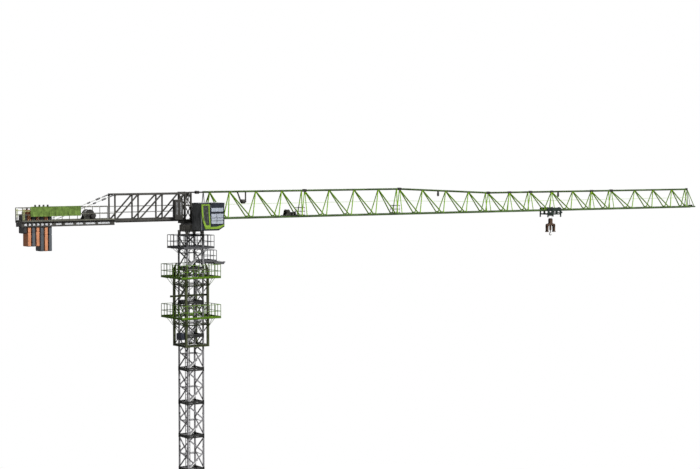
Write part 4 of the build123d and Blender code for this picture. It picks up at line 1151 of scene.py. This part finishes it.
def build_slabs():
    """Hanging counterweight slabs with hanger bars, lifting lugs and recessed faces."""
    colours = settings()[0]
    tops, drops = (335, 510, 510, 600, 600, 600, 600), (-420, -935, -935, -935, -1135, -1135, -1135)
    deck = DECK_TOP - CHORD_Z
    fittings, end_slab = Form(AT_CHORD), Form(AT_CHORD)
    for node, slot, colour, first in (("counterweights_orange", "slab_orange", colours.slab_orange, 1),
                                      ("counterweights_grey", "slab_grey", colours.slab_grey, 0)):
        form = Form(AT_CHORD)
        for i in range(first, 7, 2):
            # The first slab goes to its own near-black piece, a painted shade for its shadowed end face
            slab = form if i else end_slab
            x, top, bottom = SLAB_START + i * SLAB_STEP, tops[i], drops[i]
            seam = bottom + (top - bottom) * (0.38 if i else 0.5)
            for outline in ([(-250, bottom + 30), (-220, bottom), (220, bottom), (250, bottom + 30),
                             (250, seam - 7), (-250, seam - 7)],
                            [(-250, seam + 7), (250, seam + 7), (250, top - 40), (210, top), (-210, top),
                             (-250, top - 40)]):
                slab.rings([[(x + dx, y * s, z) for y, z in outline]
                            for dx, s in ((6, 0.972), (14, 1.0), (126, 1.0), (134, 0.972))])
            slab.block((x + 20, x + 120), (-238, 238), about(seam, 12))
            mid = x + 71
            fittings.bar((mid, -TRUSS_Y - 20, deck + 30), (mid, TRUSS_Y + 20, deck + 30), 48, 58)
            for s in SIDES:
                fittings.block(about(mid, 36), (s * 250, s * 258), (deck + 2, deck + 90))
            lug = ((-45, 0), (45, 0), (40, 70), (18, 99), (-18, 99), (-40, 70))
            for d in (-24, 10):
                fittings.plate([(mid + d, y, top + z) for y, z in lug], (14, 0, 0))
            fittings.pin((mid, 0, top + 66), 25, 15, axis=ALONG_X)
        form.publish(node + "_blocks", slot, cast_slab(node + "_paint", colour), (node,), 3)
    # Painted shade: the first slab is cast near-black instead of blue-grey
    end_slab.publish("counterweight_end_slab", "slab_grey", cast_slab("end_slab_shade_paint", END_SLAB_SHADE), (), 3)
    fittings.publish("slab_hangers", "gear_dark",
                     painted("hanger_paint", shade(colours.gear, 0.8), wear=0.3), (), 1.5)


# Jib and load gear
# Each section's node, its bays, its depth at both ends and the length before its first apex
LAYOUT = (("jib_1", (965, 1285, 1290, 1135), 1100, 1100, 325),
          ("jib_2", (1280, 1300, 1290, 1130), 1100, 1100, 0),
          ("jib_3", (1280, 1300, 1290, 1130), 1100, 858, 0),
          ("jib_4", (1250, 1247), 858, 858, 0),
          ("jib_5", (1291, 1297, 1165, 1248), 858, 858, 0),
          ("jib_6", (1520, 1200, 1245, 1035), 858, 858, 0))
FOOT_SHARE = 0.71
FRAMED_APEXES = (16827, 19365, 21827)
CHORD_Y, LACE_Y = 225, 206


def build_jib():
    """Jib sections: chords, lace tubes with their gussets, dark pinned joints and the safety line."""
    colours, sizes = settings()
    lace_paint = painted("jib_lace_paint", colours.jib_lace, dark=0.42, pale=1.25, patch=2.2, wear=0.2)
    # Grey-green chord paint mottled with lime patches 4.6 times as bright: the patches are painted
    # highlights along the chords
    chord_and_highlight_paint = painted("jib_chord_and_highlight_paint", colours.jib_chord, dark=0.3, pale=4.6, patch=2.2, wear=0.22)
    joint_paint = painted("jib_joint_paint", shade(colours.gear, 0.6), dark=0.5, pale=1.8, patch=5)
    # Lace green made about twice as bright: a painted highlight for the rising laces
    pale_paint = painted("jib_lace_highlight_paint", LACE_HIGHLIGHT, dark=0.5, pale=1.2, patch=4, wear=0.2)
    line_paint = painted("safety_line_paint", LINE_GREEN, dark=0.7, patch=6)
    lace = sizes.lace_tube
    station = JIB_START
    for node, bays, depth_in, depth_out, lead in LAYOUT:
        laces, chords, joints, line, rising = (Form(AT_CHORD) for _ in range(5))
        x, end = station + lead, station + lead + sum(bays)
        slope = (depth_out - depth_in) / (end - station)
        chords.sweep(circle(44, 12, pi / 12), (station + 1, 0, depth_in), (end - 1, 0, depth_out))
        for s in SIDES:
            y, root = s * LACE_Y, station + 22
            chords.bar((station + 1, s * CHORD_Y, -9.5), (end - 1, s * CHORD_Y, -9.5), 78)
            if lead:
                laces.tube((root + 3, y, 10), (x, 0, depth_in - 14), lace, 10)
                joints.tube((root, y, 0), (root, y * 0.06, depth_in), 17, 12)
        if lead:
            joints.bar((station + 25, -CHORD_Y, 0), (station + 25, CHORD_Y, 0), 46)
        for bay in bays:
            here = depth_in + slope * (x - station)
            after, foot = here + slope * bay, x + bay * FOOT_SHARE
            gap = 150 if x + bay > end - 10 else 20
            if round(x) in FRAMED_APEXES:
                joints.sweep(circle(56, 12), (x - 95, 0, here), (x + 95, 0, here))
            for s in SIDES:
                y = s * LACE_Y
                if round(x) in FRAMED_APEXES:
                    rising.tube((x, y * 0.06, here - 20), (x + 24, y, 10), 19, 10)
                laces.tube((x, y * 0.03, here - 12), (foot, y, 8), lace, 10)
                rising.tube((foot + 95, y, 8), (x + bay - gap, y * 0.03, after - 12), lace * 0.85, 10)
                chords.plate([(foot + dx, s * across, z) for dx, across, z in (
                    (-62, 219, 20), (140, 219, 20), (120, 205, 66), (-30, 205, 66))], (0, s * -6, 0))
            chords.wall(-4, 8, *((x + dx, here - drop)
                                 for dx, drop in ((-46, 20), (62, 20), (40, 64), (-22, 64))))
            laces.pin((foot, 0, 0), CHORD_Y, 11, 10)
            if foot + bay * 0.5 < end - 60:
                laces.tube((foot, -LACE_Y, 0), (min(x + bay + 300, end - 40), LACE_Y, 0), 9)
            x += bay
        for at, top, lean in ((station, depth_in, 1), (end, depth_out, -1)):
            if at == JIB_START:
                continue
            near, far, knee, pin = (at + lean * reach for reach in (1, 104, 80, 34))
            for y in (-48, 36):
                joints.wall(y, 12, (near, top - 62), (knee, top - 56), (far, top - 16), (far, top + 16),
                            (knee, top + 56), (near, top + 62))
            joints.sweep(circle(40, 12), (near, 0, top), (at + lean * 60, 0, top))
            joints.pin((pin, 0, top), 45, 18)
            for s in SIDES:
                if lean > 0:
                    rising.tube((at + 14, s * LACE_Y * 0.06, top - 20), (at + 14, s * LACE_Y, 10), 19, 10)
                joints.block((near, far), (s * 181, s * 254), (-44, 29.5), 6)
                joints.tube((pin, s * 176, -8), (pin, s * 254.5, -8), 16, 12)
        line.tube((station + 4, -60, depth_in * 0.52), (end - 4, -60, depth_out * 0.52), sizes.line, 6)
        laces.publish(node + "_laces", "jib_green", lace_paint, (node,))
        chords.publish(node + "_chords", "jib_green", chord_and_highlight_paint)
        joints.publish(node + "_joints", "jib_green", joint_paint)
        rising.publish(node + "_rising_laces", "jib_green", pale_paint)
        line.publish(node + "_safety_line", "jib_green", line_paint)
        station = end
    # Guard rails and a small floor before the second and third joints
    guards = Form(AT_CHORD)
    for at in (JIB_START + 5000, JIB_START + 10000):
        for y in (-78, 78):
            for z in (205, 370):
                guards.tube((at - 440, y, z), (at - 20, y, z), 14)
            for dx in (-430, -230, -35):
                guards.tube((at + dx, y, 46), (at + dx, y, 376), 6, 6)
        grating(guards, (at - 440, at - 20), (-90, 90), 50, 50, 16)
    guards.publish("jib_guard_rails", "jib_green", joint_paint)
    low, high = node_box("jib_tip", AT_CHORD)
    tip, legs, buffers, pin = Form(AT_CHORD), Form(AT_CHORD), Form(AT_CHORD), high.x - 130
    for s in SIDES:
        y = s * CHORD_Y
        tip.bar((low.x, y, 0), (high.x, y, 0), 66)
        legs.tube((high.x - 30, y, 0), (low.x + 4, y * 0.05, 848), 19, 12)
        legs.tube((low.x + 20, y, 0), (low.x + 20, y * 0.05, 848), 14, 10)
        buffers.block((low.x + 60, low.x + 120), (s * 200, s * 284), (28, 96), 6)
        buffers.tube((low.x + 10, s * 250, 62), (low.x + 62, s * 250, 62), 24, 14)
    tip.bar((high.x - 30, low.y, 0), (high.x - 30, high.y, 0), 58)
    for y in (-40, 32):
        tip.wall(y, 8, (pin - 80, -28), (pin + 72, -28), (pin + 72, 70), (pin - 40, 70))
    tip.pin((pin, 0, 0), CHORD_Y, 14, 10)
    tip.turned(spool((58, 22), (58, 16), (48, 10)), (pin, 0, 26))
    # The tip frame shares the chord paint and its painted highlights
    tip.publish("jib_tip_frame", "jib_green", chord_and_highlight_paint, ("jib_tip",))
    legs.publish("jib_tip_legs", "jib_green", lace_paint)
    buffers.publish("jib_end_buffers", "jib_green", joint_paint, (), 1.5)


def build_trolley_drive():
    """Trolley winch on the jib, its drum, the limiter hanger and the rope rollers under the top chord."""
    colours = settings()[0]
    dark = painted("drive_paint", shade(colours.gear, 0.75), dark=0.5, pale=2.0, patch=6, wear=0.25)
    axle = axle_of("trolley_drum")
    low, high = node_box("trolley_winch", axle)
    form, drum, base = Form(axle), Form(axle), low.z
    for y in (low.y + 20, high.y - 20):
        form.sweep(channel(38, 20, 5), (low.x, y, base + 10), (high.x, y, base + 10))
    form.block((low.x, high.x), (-110, 110), (base + 4, base + 14))
    for x in (low.x + 20, 0, high.x - 20):
        form.bar((x, low.y, base + 9), (x, high.y, base + 9), 34, 16)
    for y in (-150, 125):
        form.wall(y, 25, (-118, base + 14), (118, base + 14), (60, 30), (22, high.z), (-22, high.z),
                  (-60, 30))
        form.turned([(34, -4), (34, 29)], (0, y, 0), 18)
    form.block((222, 300), (-100, 100), (base + 20, base + 150), 10)
    form.tube((300, 0, base + 92), (428, 0, base + 92), 68, 24)
    for x in range(312, 409, 12):
        form.tube((x, 0, base + 92), (x + 5, 0, base + 92), 76, 24)
    form.publish("trolley_winch_frame", "winch_dark", dark, ("trolley_winch",), 1.5)
    drum.turned(spool((18, 148), (18, 110), (100, 110), (100, 102), (74, 100)), HUB, 32)
    for k in range(19):
        drum.turned([(76, -3), (79, 0), (76, 3)], (0, -94 + k * 10.4, 0), 28)
    drum.publish("trolley_drum_shell", "winch_dark", dark, ("trolley_drum",), body="trolley_drum_body")
    rollers = Form(AT_CHORD)
    for y in (-22, 14):
        rollers.wall(y, 9, (2222, 1070), (2272, 1070), (2440, 668), (2392, 640))
        rollers.wall(y, 9, (2618, 1070), (2662, 1070), (2662, 640), (2618, 640))
    for x0, x1, z, radius, sides in ((2384, 2656, 672, 42, 20), (2440, 2590, 678, 92, 24),
                                     (2600, 2626, 672, 56, 20)):
        rollers.tube((x0, 0, z), (x1, 0, z), radius, sides)
    for x, line in ((12720, 966), (19760, 828)):
        for y in (-25, 15):
            hanger = [(24, 6), (44, -100), (44, -190), (26, -224)]
            hanger += [(-dx, z) for dx, z in reversed(hanger)]
            rollers.wall(y, 10, *((x + dx, line + z) for dx, z in hanger))
        rollers.block(about(x, 20), (-16, 16), (line - 92, line + 4), 4)
        rollers.turned(spool((42, 13), (32, 6)), (x, 0, line - 160), 20)
        rollers.pin((x, 0, line - 160), 29, 11)
    rollers.publish("limiter_and_rollers", "winch_dark", dark, ("rope_rollers",))


def build_trolley():
    """Trolley: cut-out side plates with rolled edges, legs, wheels, guide rollers and cross beams."""
    colours = settings()[0]
    paint = painted("trolley_paint", colours.trolley, dark=0.5, pale=2.2, patch=6, wear=0.27)
    steel = bare_steel("wheel_steel", shade(colours.steel, 0.45))
    middle = (node_box("trolley_frame")[0].x + 415, 0, CHORD_Z)
    top, base, foot, z_low, z_high = 115, -220, -335, -165, -55
    form, wheels, sheaves = Form(middle), Form(middle), Form(middle)
    for s in SIDES:
        y = s * 290 - 10
        for a, b in ((-415, -335), (-185, -80), (80, 185), (325, 415)):
            form.wall(y, 20, (a, z_low), (b, z_low), (b, z_high), (a, z_high))
        form.wall(y, 20, (-415, z_high), (415, z_high), (415, top - 40), (375, top), (-375, top),
                  (-415, top - 40))
        for lean in SIDES:
            form.wall(y, 20, (lean * 415, foot), (lean * 362, foot), (lean * 345, z_low),
                      (lean * 415, z_low))
            form.block((lean * 360, lean * 414), (s * 262, s * 282), (foot, z_low))
            form.block(about(lean * 395, 26), (s * 262, s * 300), (foot, foot + 14), 4)
        form.wall(y, 20, (-375, base), (375, base), (375, z_low), (-375, z_low))
        form.wall(y, 20, (415, -170), (485, -150), (485, -100), (415, -60))
        # Filled corners of the windows
        for x, lean in ((-335, 26), (-185, -26), (-80, 26), (80, -26), (185, 26), (325, -26)):
            for z, rise in ((z_low, 26), (z_high, -26)):
                form.wall(y, 20, (x, z), (x + lean, z), (x, z + rise))
    for x in (-395, -100, 100, 395):
        form.bar((x, -282, base + 25), (x, 282, base + 25), 38, 48)
    form.pin((462, 0, -125), 280, 24, 16)
    grating(form, (-380, -160), (-280, 280), base + 30, 40, 14)
    for y in (-40, 32):
        form.wall(y, 8, (-130, base - 62), (130, base - 62), (150, base + 112), (-150, base + 112))
    form.publish("trolley_side_frames", "trolley_dark", paint, ("trolley_frame",), 1.5, "trolley")
    tread = [(46, 0), (55, 5), (55, 30), (50, 33), (50, 40), (20, 41), (20, 49)]
    z = node_box("trolley_wheels", middle)[0].z + 55
    for end, s in mirrored():
        wheels.turned(tread, (end * 305, s * 231, z), 28, (0, s, 0))
        wheels.tube((end * 305, s * 270, z), (end * 305, s * 281, z), 14, 14)
    wheels.publish("trolley_wheel_set", "trolley_dark", steel, ("trolley_wheels",), body="trolley")
    for x in (-56, 56):
        sheaves.turned(spool((16, 30), (16, 20), (50, 18), (50, 13), (42, 6)), (x, 0, base + 66), 28)
    sheaves.publish("trolley_sheaves", "trolley_dark", steel, body="trolley")
    ropes = Form()
    low, high = node_box("rope_falls")
    for x in (low.x + 5, high.x - 5):
        for dx, y in circle(2.6, 5):
            ropes.tube((x + dx, y, low.z), (x + dx, y, high.z), 2.3, 6)
    ropes.publish("rope_fall_strands", "rope_steel", bare_steel("fall_steel", colours.steel, 0.45),
                  ("rope_falls",), body="trolley")


def build_hook():
    """Hook block: cheeks, sheave, yoke with splayed legs, and the forged hook on its swivel nut."""
    colours = settings()[0]
    rust = painted("hook_block_paint", colours.hook, dark=0.4, pale=1.9, patch=9, wear=0.34, rust=HOOK_RUST)
    low, high = node_box("hook_block", AT_CHORD)
    middle = ((low.x + high.x) / 2, 0, CHORD_Z)
    top, axle, yoke_top, yoke_low, flare, foot = high.z, high.z - 80, -655, -780, -975, -1045
    form, sheave, hook, latch = Form(middle), Form(middle), Form(middle), Form(middle)
    arch = curve_through([(85, yoke_top + 36), (120, yoke_top + 12), (190, yoke_top), (240, yoke_top - 30),
                          (250, yoke_low)], 4)
    half = [(45, top), (72, top - 22), (85, axle + 30), *arch, (150, yoke_low), (126, yoke_low + 40),
            (60, yoke_low + 52)]
    for y, face, out in ((-62.5, 0, -1), (42.5, 20, 1)):
        form.wall(y, 20, *half, *((-x, z) for x, z in reversed(half)))
        form.turned([(34, -2), (34, 22)], (0, y, axle), 20)
        form.bolt((0, y + face, axle), (0, out, 0), 16, 2)
    form.block((-240, 240), (-42, 42), (yoke_low + 46, yoke_top - 40), 6)
    form.block((-42, 42), (-42, 42), (-950, yoke_low + 60), 12)
    form.turned([(40, 0), (40, 16)], (0, 0, -950), 20, UP)
    leg = ((155, yoke_low + 30), (250, yoke_low + 30), (243, flare), (280, foot), (140, foot), (168, flare))
    for s in SIDES:
        for y in (-62.5, 48.5):
            form.wall(y, 14, *((s * x, z) for x, z in leg))
        form.block((s * 186, s * 226), (-60, 60), (flare, yoke_low + 30), 4)
        form.block((s * 146, s * 274), (-60, 60), (foot, foot + 22), 4)
        for z in (yoke_low + 60, yoke_top - 50):
            for y in (-62.5, 62.5):
                form.bolt((s * 212, y * 0.97, z), (0, y, 0), 9, 2)
    form.publish("hook_block_cheeks", "hook_rust", rust, ("hook_block",), body="hook_block_body")
    sheave.turned(spool((20, 42), (20, 28), (75, 27), (75, 20), (64, 8)), (0, 0, axle), 36)
    sheave.publish("hook_block_sheave", "hook_rust",
                   painted("sheave_paint", SHEAVE_RED, dark=0.5, pale=1.8, patch=9), ("hook_sheaves",),
                   body="hook_block_body")
    # Hook: tapering forged section along its bent axis
    low, high = node_box("hook", middle)
    bowl, neck = low.z + 75, high.z
    hook.turned([(24, 0), (24, -30), (20, -40), (20, -90), (24, -120)], (0, 0, neck), 18, UP)
    hook.turned([(36, -34), (36, -8)], (0, 0, neck), 6, UP)
    path = [(0, neck - 110, 22), (-12, bowl + 78, 21)]
    for k in range(13):
        turn = radians(125 + 18.2 * k)
        path.append((58 * cos(turn), bowl + 58 * sin(turn), 17 - max(0, k - 9) * 2.5))
    rings = []
    for i, (x, z, radius) in enumerate(path):
        before, after = path[max(i - 1, 0)], path[min(i + 1, len(path) - 1)]
        run = Vector((after[0] - before[0], 0, after[1] - before[1])).normalized()
        side = Vector((run.z, 0, -run.x)) * 0.95
        rings.append([Vector((x, v * 1.15, z)) + side * u for u, v in circle(radius, 12)])
    hook.rings(rings)
    forged = painted("forged_hook_finish", FORGED, dark=0.5, pale=2.2, patch=9, wear=0.25)
    hook.publish("forged_hook", "hook_rust", forged, ("hook",), body="hook_body")
    latch.bar((-20, 0, bowl + 76), (44, 0, bowl + 34), 16, 5)
    latch.publish("hook_latch", "hook_rust", forged, body="hook_body")


# Stage
# Each lamp's turn in degrees, strength and the width of its disc in degrees
LAMPS = {"key": ((52, 0, 28), 3.9, 12), "fill": ((60, 0, -70), 0.05, 40), "back": ((55, 0, 150), 1.8, 20)}
FLOOR_REACH, FADE_FROM, FADE_TO = 60, 15.5, 21.5
FLOOR_THROWN, FLOOR_SEEN = (0.2, 0.2, 0.2), (0.86, 0.86, 0.86)
SKY, WHITE = (0.95, 0.97, 1.0, 1.0), (1.0, 1.0, 1.0, 1.0)
LENS, SENSOR, FAR_CLIP = 95.73, 36.0, 600
VIEWPOINT, VIEW_TURN = (-37.109, -68.118, 17.952), (87.256, 0, -33.478)


def blend_surfaces(tree, factor, first, second, output):
    """Mixes two shaders by a factor and sends them to an output node."""
    blend = tree.nodes.new("ShaderNodeMixShader")
    for source, socket in zip((factor, first, second), blend.inputs):
        tree.links.new(source.socket, socket)
    tree.links.new(blend.outputs[0], tree.nodes[output].inputs["Surface"])


def background(tree, node, colour, strength):
    """Sets a background shader's colour and strength."""
    node.inputs["Color"].default_value, node.inputs["Strength"].default_value = colour, strength
    return Sock(tree, node.outputs[0])


def build_stage():
    """Pale floor that fades out, plain soft lamps, white surroundings and the camera."""
    scene = bpy.context.scene
    scene.view_settings.view_transform = "Standard"
    mesh = bpy.data.meshes.new("floor")
    mesh.from_pydata(square(FLOOR_REACH, 0), [], [(0, 1, 2, 3)])
    floor = bpy.data.objects.new("floor", mesh)
    scene.collection.objects.link(floor)
    floor.location = (10, 0, -0.002)
    finish = Finish("floor_finish")
    seen = finish.node("ShaderNodeLightPath", output="Is Camera Ray")
    # The floor throws back less light than it shows, so faces turned from the key lamp stay dark
    finish.set(Base_Color=finish.mix(seen, FLOOR_THROWN, FLOOR_SEEN), Roughness=0.9)
    finish.bump(finish.noise(3, 2), 0.03, 0.001)
    distance = finish.node("ShaderNodeVectorMath", {"operation": "LENGTH"}, output="Value",
                           Vector=finish.place)
    white = finish.node("ShaderNodeEmission", Color=WHITE, Strength=1.0)
    blend_surfaces(finish.tree, distance.rise(FADE_FROM, FADE_TO) * seen,
                   Sock(finish.tree, finish.shader.outputs[0]), white, "Material Output")
    mesh.materials.append(finish.material)
    world = bpy.data.worlds.new("soft_white")
    scene.world = world
    world.use_nodes = True
    tree = world.node_tree
    light = background(tree, tree.nodes["Background"], SKY, 0.08)
    backdrop = background(tree, tree.nodes.new("ShaderNodeBackground"), WHITE, 1.0)
    rays = tree.nodes.new("ShaderNodeLightPath")
    plain = Sock(tree, rays.outputs["Is Camera Ray"])
    for kind in ("Is Glossy Ray", "Is Transmission Ray"):
        plain = plain.maths("MAXIMUM", plain, Sock(tree, rays.outputs[kind]))
    blend_surfaces(tree, plain, light, backdrop, "World Output")
    for name, (turn, strength, angle) in LAMPS.items():
        lamp = bpy.data.lights.new(name, "SUN")
        lamp.energy, lamp.angle = strength, radians(angle)
        sun = bpy.data.objects.new(name, lamp)
        sun.rotation_euler = [radians(part) for part in turn]
        scene.collection.objects.link(sun)
    camera = bpy.data.cameras.new("camera")
    camera.sensor_width, camera.lens, camera.clip_end = SENSOR, LENS, FAR_CLIP
    view = bpy.data.objects.new("camera", camera)
    view.location = VIEWPOINT
    view.rotation_euler = [radians(part) for part in VIEW_TURN]
    scene.collection.objects.link(view)
    scene.camera = view




# Operators and panel
def operator(label, build):
    """One operator that runs a builder; its docstring is the builder's."""
    def execute(self, context):
        build()
        return {"FINISHED"}

    name = build.__name__.replace("build_", "")
    facts = {"bl_idname": "crane." + name, "bl_label": label, "__doc__": build.__doc__, "execute": execute}
    return type("CRANE_OT_" + name, (bpy.types.Operator,), facts)


OPERATORS = [
    operator("Base cross", build_base),
    operator("Mast", build_mast),
    operator("Climbing cage", build_cage),
    operator("Platforms", build_platforms),
    operator("Slewing gear", build_slewing),
    operator("Electric cabinet", build_cabinet),
    operator("Cab", build_cab),
    operator("Counter-jib", build_counter_jib),
    operator("Hoist winch", build_hoist),
    operator("Counterweight slabs", build_slabs),
    operator("Jib", build_jib),
    operator("Trolley drive", build_trolley_drive),
    operator("Trolley", build_trolley),
    operator("Hook block", build_hook),
    operator("Stage", build_stage),
]


class CRANE_PT_panel(bpy.types.Panel):
    """Lists the crane's operators and settings."""
    bl_idname = "CRANE_PT_panel"
    bl_label = "Crane"
    bl_space_type = "VIEW_3D"
    bl_region_type = "UI"
    bl_category = "Crane"

    def draw(self, context):
        for kind in OPERATORS:
            self.layout.operator(kind.bl_idname)
        for group in (context.scene.crane_colours, context.scene.crane_sizes):
            for key in group.__annotations__:
                self.layout.prop(group, key)


CLASSES = [CraneColours, CraneSizes, *OPERATORS, CRANE_PT_panel]


def register():
    for kind in CLASSES:
        bpy.utils.register_class(kind)
    bpy.types.Scene.crane_colours = bpy.props.PointerProperty(type=CraneColours)
    bpy.types.Scene.crane_sizes = bpy.props.PointerProperty(type=CraneSizes)


def unregister():
    del bpy.types.Scene.crane_sizes
    del bpy.types.Scene.crane_colours
    for kind in reversed(CLASSES):
        bpy.utils.unregister_class(kind)


def main():
    """Registers the classes, runs every operator and writes the two boxes."""
    register()
    for kind in OPERATORS:
        group, name = kind.bl_idname.split(".")
        getattr(getattr(bpy.ops, group), name)()


if __name__ == "__main__":
    main()
